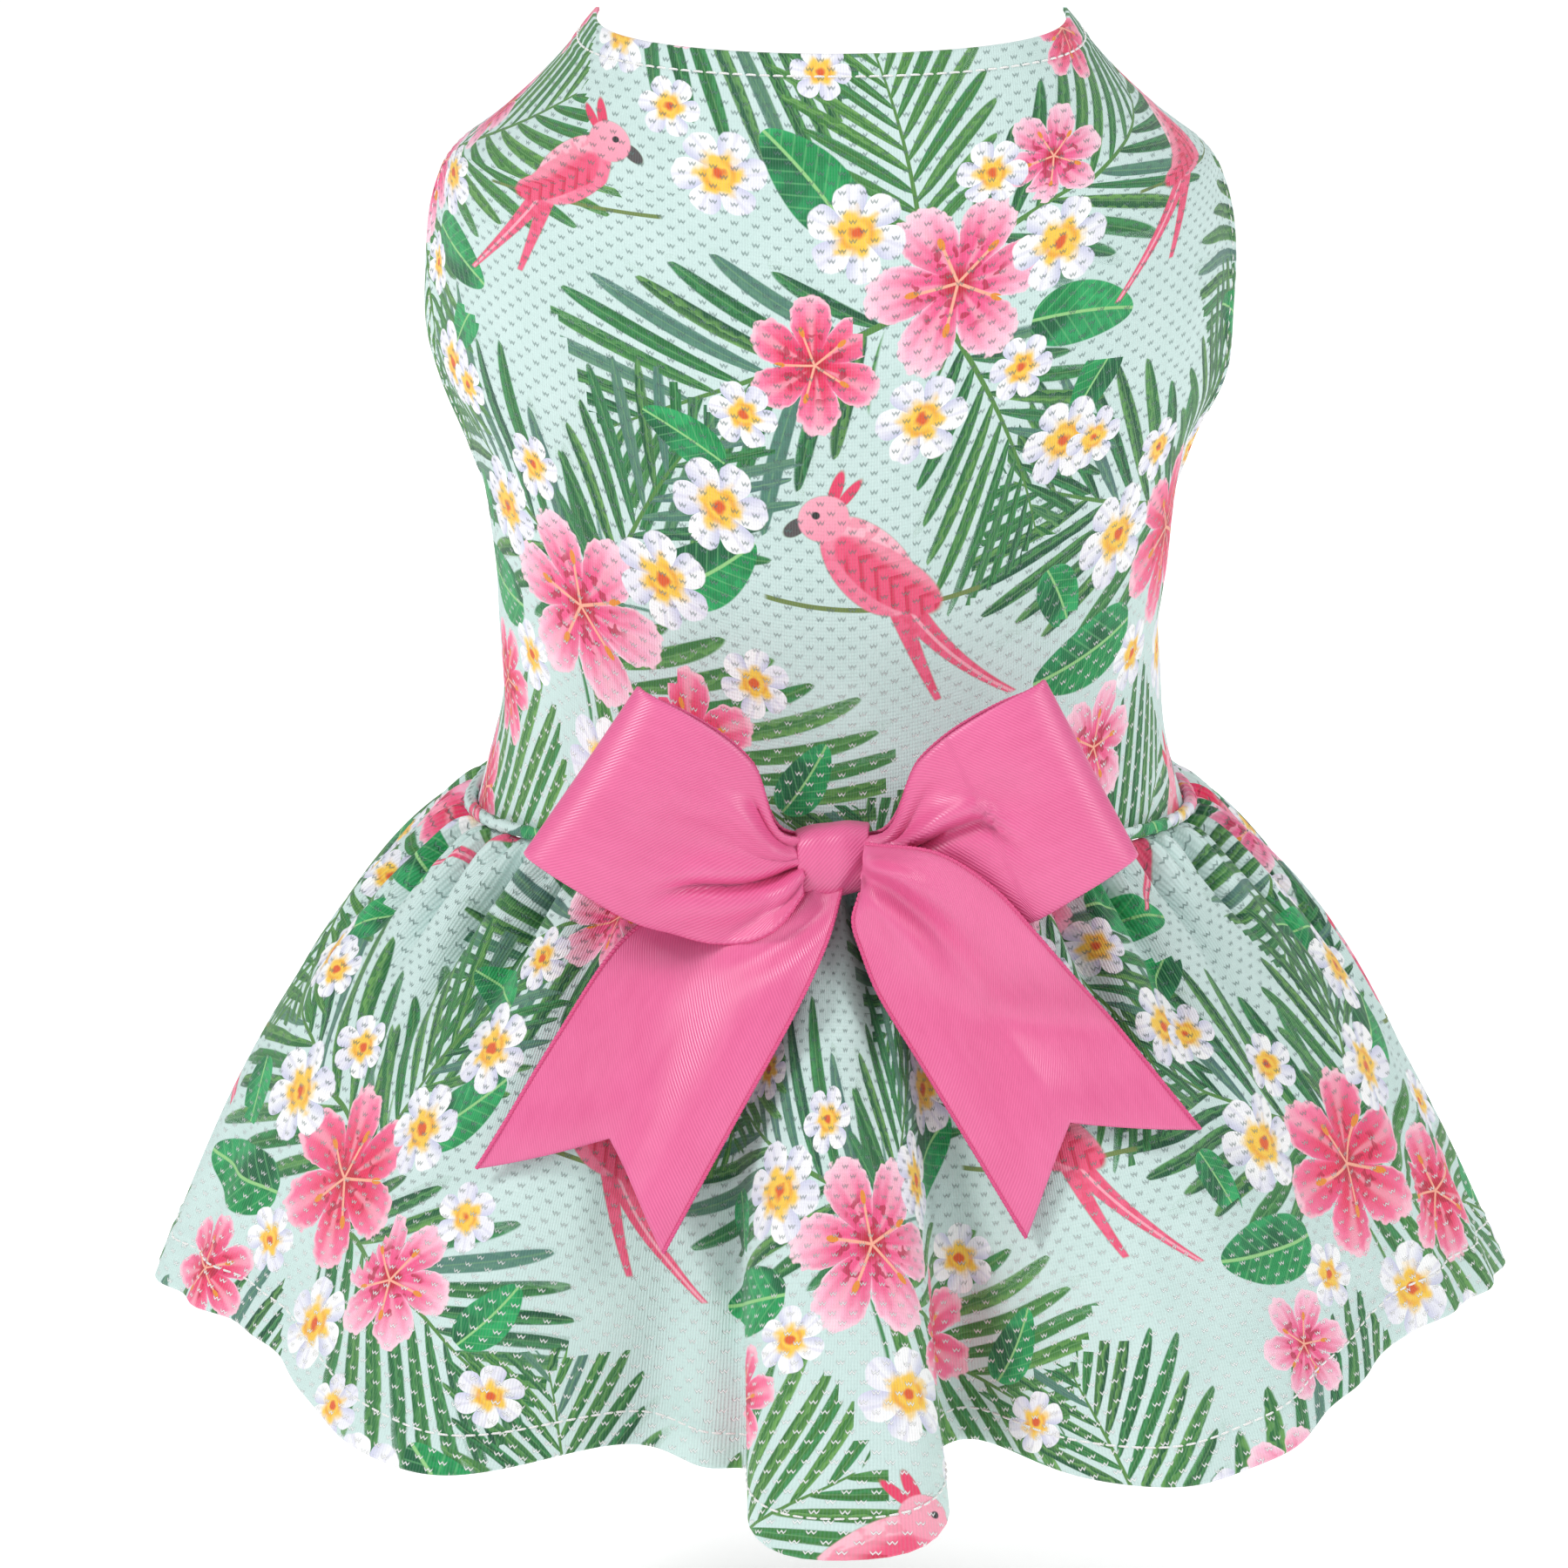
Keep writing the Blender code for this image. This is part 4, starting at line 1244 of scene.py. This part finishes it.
print("skirt")
skirtBuild = {
    "thickness": 0.0008,
    "columns": 470,
    "rows": 76,
    "rowCrowding": 1.2,
    "hemStart": 0.935,
    "hemRows": 14,
    "printLevel": 0.70,
    "print": (0.021, -0.031),
}
hemStart = skirtBuild["hemStart"]
upperRows = np.linspace(0, 1, skirtBuild["rows"]) ** skirtBuild["rowCrowding"] * hemStart
hemRows = np.linspace(hemStart, 1, skirtBuild["hemRows"] + 1)[1:]
shares = np.concatenate([upperRows, hemRows])
angles = np.linspace(-skirtShape["endAngle"], skirtShape["endAngle"], skirtBuild["columns"] + 1)
angles, shares = np.meshgrid(angles, shares)
skirtPoints = skirtCloth(angles, shares)
skirtUv = arcUv(skirtCloth(angles, shares, gathered=0.0), skirtBuild["columns"] // 2, skirtBuild["print"])
levelRow = int(skirtBuild["printLevel"] * len(shares))  # the print is laid out along this row
skirtUv[:, :, 0] = skirtUv[levelRow, :, 0]
skirtPiece = clothPiece("gathered_skirt", skirtPoints, skirtUv, skirtBuild["thickness"])
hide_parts("skirt")

print("piping")
pipingBuild = {
    "radius": 0.0011,
    "gap": 0.0003,
    "points": 420,
    "sides": 14,
    "thickness": 0.0003,
    "print": (0.051, 0.044),
    "pull": (Wave(0.07, 95, 0.0), Wave(0.05, 61, 1.0)),
}
pipeAngles = np.linspace(-skirtShape["endAngle"], skirtShape["endAngle"], pipingBuild["points"])
pipeHeight = seamHeight(pipeAngles) + pipingBuild["radius"]
pipeStandOff = np.full(len(pipeAngles), pipingBuild["radius"] + pipingBuild["gap"])
pipeLine = bodyPoint(pipeAngles, pipeHeight, pipeStandOff)
pipeRadius = pipingBuild["radius"] * (1 + waves(pipingBuild["pull"], pipeAngles))
pipeTangent = unit(np.gradient(pipeLine, axis=0))
pipeUp = unit(np.array([0, 0, 1.0]) - pipeTangent * pipeTangent[:, 2:3])
pipeOut = np.cross(pipeUp, pipeTangent)
pipeTurns = np.linspace(math.pi, -math.pi, pipingBuild["sides"] + 1)[:, None, None]
ringWay = pipeUp * np.sin(pipeTurns) - pipeOut * np.cos(pipeTurns)
pipePoints = pipeLine + ringWay * pipeRadius[:, None]
pipeUv = arcUv(pipePoints, pipingBuild["points"] // 2, pipingBuild["print"])
piping = clothPiece("rolled_piping", pipePoints, pipeUv, pipingBuild["thickness"])
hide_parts("waist_piping")

print("stitches")
stitchLines = {"neckPoints": 700, "holePoints": 520, "hemPoints": 2400, "hemShare": 0.992}


def stitchRadius(length):
    return np.full(len(length), stitching["radius"])


def addStitches(name, runs):
    return addTubes(name, runs, stitchRadius, stitching["sides"], whiteThread)


neckAngles = np.linspace(-math.pi, math.pi, stitchLines["neckPoints"])
neckLevel = (hem["neckDepth"] - hem["stitchInset"]) / body["length"]
neckPath, neckOut = surfacePath(bodiceCloth, neckAngles, np.full(len(neckAngles), neckLevel))
neckStitches = addStitches("neck_stitches", stitchRuns(neckPath, neckOut))

holeRuns = []
holeInset = hem["holeDepth"] - hem["stitchInset"]
acrossReach = holeHalfAngle() * (1 + holeInset / (body["holeWidth"] / 2))
upReach = body["holeHeight"] / 2 + holeInset
turn = np.linspace(0, 2 * math.pi, stitchLines["holePoints"])
for side in (-1, 1):
    holeAngle = side * (body["seamAngle"] + acrossReach * np.cos(turn))
    holeLevel = (body["holeDrop"] + body["holeHeight"] / 2 + upReach * np.sin(turn)) / body["length"]
    holePath, holeOut = surfacePath(bodiceCloth, holeAngle, holeLevel)
    holeRuns += stitchRuns(holePath, holeOut)
holeStitches = addStitches("leg_hole_stitches", holeRuns)

hemAngles = np.linspace(-skirtShape["endAngle"], skirtShape["endAngle"], stitchLines["hemPoints"])
hemAngles = hemAngles * stitchLines["hemShare"]
hemLift = hem["skirtDepth"] - hem["stitchInset"]
hemPath, hemOut = surfacePath(
    skirtCloth, hemAngles, 1 - hemLift / (skirtDrop(hemAngles) * skirtShape["hemSlant"])
)
hemStitches = addStitches("skirt_stitches", stitchRuns(hemPath, hemOut))

print("bow")
bow = {
    "ribbonWidth": 0.0360,
    "ribbonThickness": 0.0005,
    "knotWidth": 0.0122,
    "knotHeight": 0.0124,
    "knotThickness": 0.0090,
    "loopLength": 0.0390,
    "loopRoot": 0.0024,
    "loopPuff": 0.0100,
    "loopCup": 0.30,
    "loopLift": math.radians(23),
    "loopStand": 0.0080,
    "loopClearance": 0.0024,
    "tailClearance": 0.0010,
    "tailReach": 8,
    "bridgeRadius": 0.0150,
    "solidRibbon": 0.0010,
    "gap": 0.0003,
    "restAngle": math.radians(75),
    "restRows": 25,
    "restColumns": 91,
    "pleat": 0.0010,
    "wave": 0.0005,
    "loopTuck": 0.0012,
    "loopTaper": 0.93,
    "loopRises": 0.4,
    "rollLiftReach": 0.10,
    "rollBend": 0.50,
    "rollBendReach": 0.15,
    "rollBegins": 0.10,
    "tailLeaves": 0.22,
    "loopSteps": 96,
    "tailSteps": 90,
    "knotSteps": 60,
    "columns": 40,
    "knotTurn": 0.99,
    "knotSquareness": 3.2,
    "knotPull": 0.07,
    "knotBulge": 0.10,
    "knotLean": 0.10,
    "knotPleat": 0.016,
    "knotCorner": 0.0030,
    "knotTuck": 0.0008,
    "knotTuckReach": 0.0012,
    "knotRound": 0.005,
}
Spread = namedtuple("Spread", "along top foot")
ribbonSpread = (
    Spread(along=0.00, top=0.22, foot=0.26),
    Spread(along=0.12, top=0.28, foot=0.66),
    Spread(along=0.28, top=0.56, foot=0.96),
    Spread(along=0.50, top=0.80, foot=1.06),
    Spread(along=0.75, top=0.92, foot=0.98),
    Spread(along=1.00, top=0.96, foot=0.88),
)
# Each tail's two edges from the knot to the tips, in millimetres from the knot's middle.
TailEdge = namedtuple("TailEdge", "along innerX innerZ outerX outerZ")
tailEdges = {
    "left": (
        TailEdge(0.00, 1.8, -3.6, -4.6, -2.6),
        TailEdge(0.12, 0.4, -8.6, -13.0, -5.4),
        TailEdge(0.25, -1.8, -14.4, -24.0, -7.6),
        TailEdge(0.45, -7.0, -24.8, -35.0, -13.5),
        TailEdge(0.70, -15.0, -39.2, -46.4, -29.5),
        TailEdge(1.00, -28.3, -64.0, -59.6, -50.7),
    ),
    "right": (
        TailEdge(0.00, 4.6, -4.4, 5.4, 4.6),
        TailEdge(0.12, 3.4, -9.0, 17.0, 3.2),
        TailEdge(0.25, 4.9, -14.3, 26.0, -2.2),
        TailEdge(0.40, 8.0, -21.8, 33.0, -9.5),
        TailEdge(0.65, 16.5, -35.6, 45.5, -24.6),
        TailEdge(1.00, 32.4, -62.0, 61.7, -44.5),
    ),
}
# How each side of the bow differs: its loop's length and slant, the roll of cloth on its loop, how deep
# its tail is notched, and where the tail leaves the knot.
BowSide = namedtuple(
    "BowSide",
    "name side loopReach loopSkew tailNotch tailStand rollStart rollSlope rollLift rollDrop begin end fade",
)
bowSides = (
    BowSide("left", -1, 1.03, 0.09, 0.15, -0.0035, -0.12, -1.10, 0.0, 0.0, -0.10, 0.34, 0.22),
    BowSide("right", 1, 1.06, 0.04, 0.16, 0.0022, 0.20, 0.0, 0.9, 0.40, 0.0, 0.52, 0.16),
)
# Creases in the ribbon: how far each stands out or in, in metres, where it lies across the ribbon and how
# that shifts along it, its width, and the middle and the reach of its stretch along the ribbon.
Crease = namedtuple("Crease", "out across shift width along reach")
creases = {
    "left loop": (
        Crease(-0.0022, -0.16, 0.0, 0.26, 0.52, 0.24),
        Crease(0.0012, 0.56, -0.5, 0.16, 0.26, 0.18),
        Crease(-0.0010, 0.84, -0.5, 0.10, 0.24, 0.12),
    ),
    "right loop": (
        Crease(-0.0026, 0.04, 0.0, 0.34, 0.66, 0.20),
        Crease(-0.0012, 0.60, 0.0, 0.16, 0.34, 0.16),
    ),
    "left tail": (
        Crease(0.0012, 0.30, 0.90, 0.16, 0.26, 0.20),
        Crease(-0.0014, 0.04, 0.90, 0.12, 0.22, 0.20),
    ),
    "right tail": (
        Crease(0.0017, 0.23, 0.25, 0.11, 0.20, 0.20),
        Crease(-0.0024, 0.42, 0.25, 0.10, 0.24, 0.19),
        Crease(0.0010, 0.62, 0.0, 0.12, 0.10, 0.14),
    ),
}
# The roll on each loop: its rises and hollows beside its line.
Roll = namedtuple("Roll", "out beside width")
rolls = {
    "left": (Roll(0.0011, 0.17, 0.12), Roll(-0.0030, 0.0, 0.075), Roll(0.0010, -0.24, 0.16)),
    "right": (Roll(0.0020, 0.0, 0.11), Roll(-0.0022, -0.20, 0.09)),
}
pipeTop = float(seamHeight(0.0)) + pipingBuild["radius"]
knotBack = bodyPoint(np.array(0.0), pipeTop, 2 * pipingBuild["radius"] + 2 * bow["gap"])
knotCentre = knotBack + np.array([0, -bow["knotThickness"] / 2, 0])
restShares, restAngles = np.meshgrid(
    np.linspace(0, 1, bow["restRows"]), np.linspace(-1, 1, bow["restColumns"]) * bow["restAngle"]
)
restPoints = skirtCloth(restAngles, restShares).reshape(-1, 3)


def depthOver(x, height, rest):
    apart = (rest[:, 0] - x[..., None]) ** 2 + (rest[:, 2] - height[..., None]) ** 2
    return (-rest[:, 1] - apart / (2 * bow["bridgeRadius"])).max(-1)


def settled(depth, reach):
    # A smooth sheet that lies in front of an uneven one: raised all round, then evened twice.
    for size, settle in ((reach, np.max), (reach // 2, np.mean), (reach // 2, np.mean)):
        spread = np.pad(depth, size, mode="edge")
        windows = np.lib.stride_tricks.sliding_window_view(spread, (2 * size + 1, 2 * size + 1))
        depth = settle(windows, axis=(-1, -2))
    return depth


def creased(name, cross, along):
    depth = 0 * cross * along
    for crease in creases[name]:
        line = crease.across + crease.shift * along
        stretch = ridge(along, crease.along, crease.reach)
        depth = depth + crease.out * ridge(cross, line, crease.width) * stretch
    return depth


def rolled(one, cross, out):
    # On the left the lower part rolls under along a line from the knot towards the foot. On the right
    # a soft roll rises from the knot and bends down over a hollow in the middle of the loop.
    line = one.rollStart + one.rollSlope * out + one.rollLift * np.exp(-out / bow["rollLiftReach"])
    line = line - one.rollDrop * ease((out - bow["rollBend"]) / bow["rollBendReach"])
    held = ease((out - one.begin) / bow["rollBegins"]) * (1 - ease((out - one.end) / one.fade))
    return held * sum(roll.out * ridge(cross, line + roll.beside, roll.width) for roll in rolls[one.name])


def ribbonPiece(name, points, uv, flip=False):
    # One length of satin. Its columns are flipped where its right side would face inwards.
    if flip:
        points, uv = points[:, ::-1], uv[:, ::-1]
    return clothPiece(name, points, uv, bow["ribbonThickness"], pinkSatin), points


def bowLoop(one):
    turn = np.linspace(0, math.pi, bow["loopSteps"] + 1)[:, None]
    cross = np.linspace(-1, 1, bow["columns"] + 1)[None, :]
    out = np.sin(turn) + 0 * cross
    tilt = bow["loopLift"] * ease(out / bow["loopRises"])
    taper = np.where(turn > math.pi / 2, bow["loopTaper"], 1.0)
    top = readTable(ribbonSpread, "along", "top", out) * taper
    foot = readTable(ribbonSpread, "along", "foot", out)
    puff = bow["loopPuff"] * out * (1 - bow["loopCup"] * cross * cross)
    depth = np.cos(turn) * (bow["loopRoot"] + puff) + bow["loopStand"] * out
    reach = (bow["loopLength"] * one.loopReach - one.loopSkew * bow["ribbonWidth"] * cross) * out
    rise = bow["ribbonWidth"] / 2 * (top * np.maximum(0, cross) + foot * np.minimum(0, cross))
    front = np.maximum(0, np.cos(turn))
    pleat = bow["pleat"] * np.exp(-out / 0.20) * np.sin(cross * 9.0 + 0.8 * one.side + 1.2 * out)
    fold = front * (rolled(one, cross, out) + creased(f"{one.name} loop", cross, out))
    outward = bow["knotWidth"] / 2 - bow["loopTuck"] + reach * np.cos(tilt) - rise * np.sin(tilt)
    x = knotCentre[0] + one.side * outward
    z = knotCentre[2] + reach * np.sin(tilt) + rise * np.cos(tilt)
    over = depthOver(x, z, restPoints) + bow["tailClearance"] + bow["solidRibbon"] + bow["loopClearance"]
    over = over + np.where(turn < math.pi / 2, 2 * bow["solidRibbon"] + bow["gap"], 0)
    y = -np.maximum(depth - knotCentre[1], over)
    y = y - (pleat * ease(out / 0.06) + fold) * np.sign(np.cos(turn) + 0.01)
    points = np.stack([x, y, z], -1)
    down = lengthAlong(points[:, bow["columns"] // 2])[:, None]
    uv = np.stack([down + 0 * cross, cross * bow["ribbonWidth"] / 2 + 0 * turn], -1)
    piece, points = ribbonPiece(f"ribbon_loop_{one.name}", points, uv, flip=one.side > 0)
    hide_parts(f"bow_loop_{one.name}")
    return piece, points


def bowTail(one, rest):
    share = np.linspace(0, 1, bow["tailSteps"] + 1)[:, None]
    cross = np.linspace(0, 1, bow["columns"] + 1)[None, :]
    along = share * (1 - one.tailNotch * (1 - np.abs(2 * cross - 1)))
    table = tailEdges[one.name]
    edge = {name: readTable(table, "along", name, along) / 1000 for name in TailEdge._fields[1:]}
    x = knotCentre[0] + mix(edge["innerX"], edge["outerX"], cross)
    z = knotCentre[2] + mix(edge["innerZ"], edge["outerZ"], cross)
    over = settled(depthOver(x, z, rest), bow["tailReach"])
    over = over + bow["tailClearance"] + bow["ribbonThickness"]
    leaving = mix(one.tailStand - knotCentre[1], over, ease(along / bow["tailLeaves"]))
    pleat = bow["pleat"] * np.exp(-along / 0.15) * np.sin(cross * 13 + 1.0) * ease(along / 0.04)
    wave = bow["wave"] * np.sin(7.5 * along + 3.0 * cross + one.side) * ease(along / 0.4)
    y = -np.maximum(leaving, over) - pleat - wave - creased(f"{one.name} tail", cross, along)
    points = np.stack([x, y, z], -1)
    uv = np.stack([lengthAlong(points), (cross - 0.5) * bow["ribbonWidth"] + 0 * share], -1)
    piece, points = ribbonPiece(f"ribbon_tail_{one.name}", points, uv, flip=one.side < 0)
    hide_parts(f"bow_tail_{one.name}")
    return piece, points


def bowKnot():
    # A short band of ribbon wrapped round the middle, pulled in at its edges.
    turn = np.linspace(-math.pi, math.pi, bow["knotSteps"] + 1)[:, None] * bow["knotTurn"]
    cross = np.linspace(-1, 1, bow["columns"] + 1)[None, :]
    square = bow["knotSquareness"]
    flatten = (np.abs(np.cos(turn)) ** square + np.abs(np.sin(turn)) ** square) ** (-1 / square)
    pleat = 1 + bow["knotPleat"] * np.sin(cross * 6.0 + 0.6 * turn) * (1 - 0.4 * np.abs(cross))
    swell = flatten * (1 - bow["knotBulge"] * cross * cross) * pleat
    out = bow["knotWidth"] / 2 * cross * (1 - bow["knotPull"] * np.cos(turn) ** 2)
    up = bow["knotLean"] * out - bow["knotHeight"] / 2 * swell * np.sin(turn)
    # One corner of the band folds under on a slant.
    slant = up * 0.55 - out * 0.85 + bow["knotCorner"]
    tuck = bow["knotTuck"] * ease(-slant / bow["knotTuckReach"]) * np.maximum(0, np.cos(turn))
    y = knotCentre[1] - bow["knotThickness"] / 2 * swell * np.cos(turn) + tuck
    points = np.stack([knotCentre[0] + out, y, knotCentre[2] + up], -1)
    uv = np.stack([turn * bow["knotRound"] + 0 * cross, cross * bow["knotWidth"] / 2 + 0 * turn], -1)
    piece, _ = ribbonPiece("ribbon_knot", points, uv)
    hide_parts("bow_knot")
    return piece


loopPieces, tailPieces, edges = {}, {}, []
for one in bowSides:
    loopPieces[one.name], loopPoints = bowLoop(one)
    rest = restPoints
    if one.name == "right":
        # This tail crosses in front of its loop.
        ahead = loopPoints[: len(loopPoints) // 2 : 3, ::3].reshape(-1, 3)
        rest = np.concatenate([restPoints, ahead])
    tailPieces[one.name], tailPoints = bowTail(one, rest)
    edges += [loopPoints[:, 0], loopPoints[:, -1], tailPoints[:, 0], tailPoints[:, -1]]
knotPiece = bowKnot()

selvedge = {"radius": 0.00036, "scallop": 0.00080, "valley": 0.72, "step": 0.00014, "sides": 6}


def evenly(path, step):
    length = lengthAlong(path)
    return pointsAt(np.linspace(0, length[-1], int(length[-1] / step)), length, path)


def scalloped(length):
    crest = np.abs(np.sin(math.pi * length / selvedge["scallop"]))
    return selvedge["radius"] * mix(selvedge["valley"], 1.0, crest)


wovenEdges = addTubes(
    "woven_ribbon_edges",
    [evenly(path, selvedge["step"]) for path in edges],
    scalloped,
    selvedge["sides"],
    edgeSatin,
)

Sheet = namedtuple("Sheet", "piece width length area held restsOn pieces")

print("studio")
studio = {
    "floor": -0.300,
    "floorSize": 24.0,
    "floorColour": 0.88,
    "floorRoughness": 0.9,
    "nearGlow": 0.42,
    "farGlow": 0.66,
    "glowStart": 0.0,
    "glowNear": 0.12,
    "glowFull": 3.0,
    "air": 0.45,
    "key": {"place": (-1.55, -1.05, 1.40), "size": (0.6, 0.6), "power": 28},
    "fill": {"place": (1.80, -1.00, 1.10), "size": (0.8, 0.8), "power": 18},
    "back": {"place": (0.6, 1.7, 1.2), "size": (1.0, 1.0), "power": 9},
}


def paperFloor():
    half, height = studio["floorSize"] / 2, studio["floor"]
    corners = [(x * half, y * half, height) for x, y in ((-1, -1), (1, -1), (1, 1), (-1, 1))]
    mesh = bpy.data.meshes.new("pale_floor")
    mesh.from_pydata(corners, [], [(0, 1, 2, 3)])
    material, tree, shader = newMaterial("pale paper")
    paper = (*[studio["floorColour"]] * 3, 1)
    setInputs(shader, {"Base Color": paper, "Roughness": studio["floorRoughness"]})
    setInputs(shader, {"Emission Strength": 1.0})
    # Away from the dress the floor glows a little, so that it stays as pale as under the lamps.
    across, along, _ = Wire(tree).node("TexCoord", {}, {}, output=3).parts()
    radius = (across * across + along * along).root()
    near, full = ((*[studio[name]] * 3, 1.0) for name in ("nearGlow", "farGlow"))
    glow = ((radius - studio["glowStart"]) / studio["glowNear"]).blend((0, 0, 0, 1), near)
    glow = ((radius - studio["glowNear"]) / studio["glowFull"]).blend(glow, full)
    tree.links.new(glow.socket, shader.inputs["Emission Color"])
    mesh.materials.append(material)
    piece = linked("pale_floor", mesh)


def softLight(name, place, size, power):
    light = bpy.data.lights.new(name, "AREA")
    light.shape = "RECTANGLE"
    light.size, light.size_y = size
    light.energy = power
    lamp = linked(name, light)
    lamp.location = place
    aim = Vector(view["target"]) - Vector(place)
    lamp.rotation_euler = aim.to_track_quat("-Z", "Y").to_euler()


paperFloor()
for lightName in ("key", "fill", "back"):
    softLight(lightName, **studio[lightName])
world = bpy.data.worlds.new("studio air")
bpy.context.scene.world = world
world.use_nodes = True
setInputs(world.node_tree.nodes["Background"], {"Color": (1, 1, 1, 1), "Strength": studio["air"]})
bpy.context.scene.view_settings.view_transform = "Standard"

lens = bpy.data.cameras.new("camera")
lens.sensor_width = view["sensor"]
lens.lens = view["sensor"] * view["distance"] / view["frameWidth"]
camera = linked("camera", lens)
away = Vector((0, -math.cos(view["elevation"]), math.sin(view["elevation"])))
camera.location = Vector(view["target"]) + away * view["distance"]
camera.rotation_euler = (math.pi / 2 - view["elevation"], 0, 0)
bpy.context.scene.camera = camera
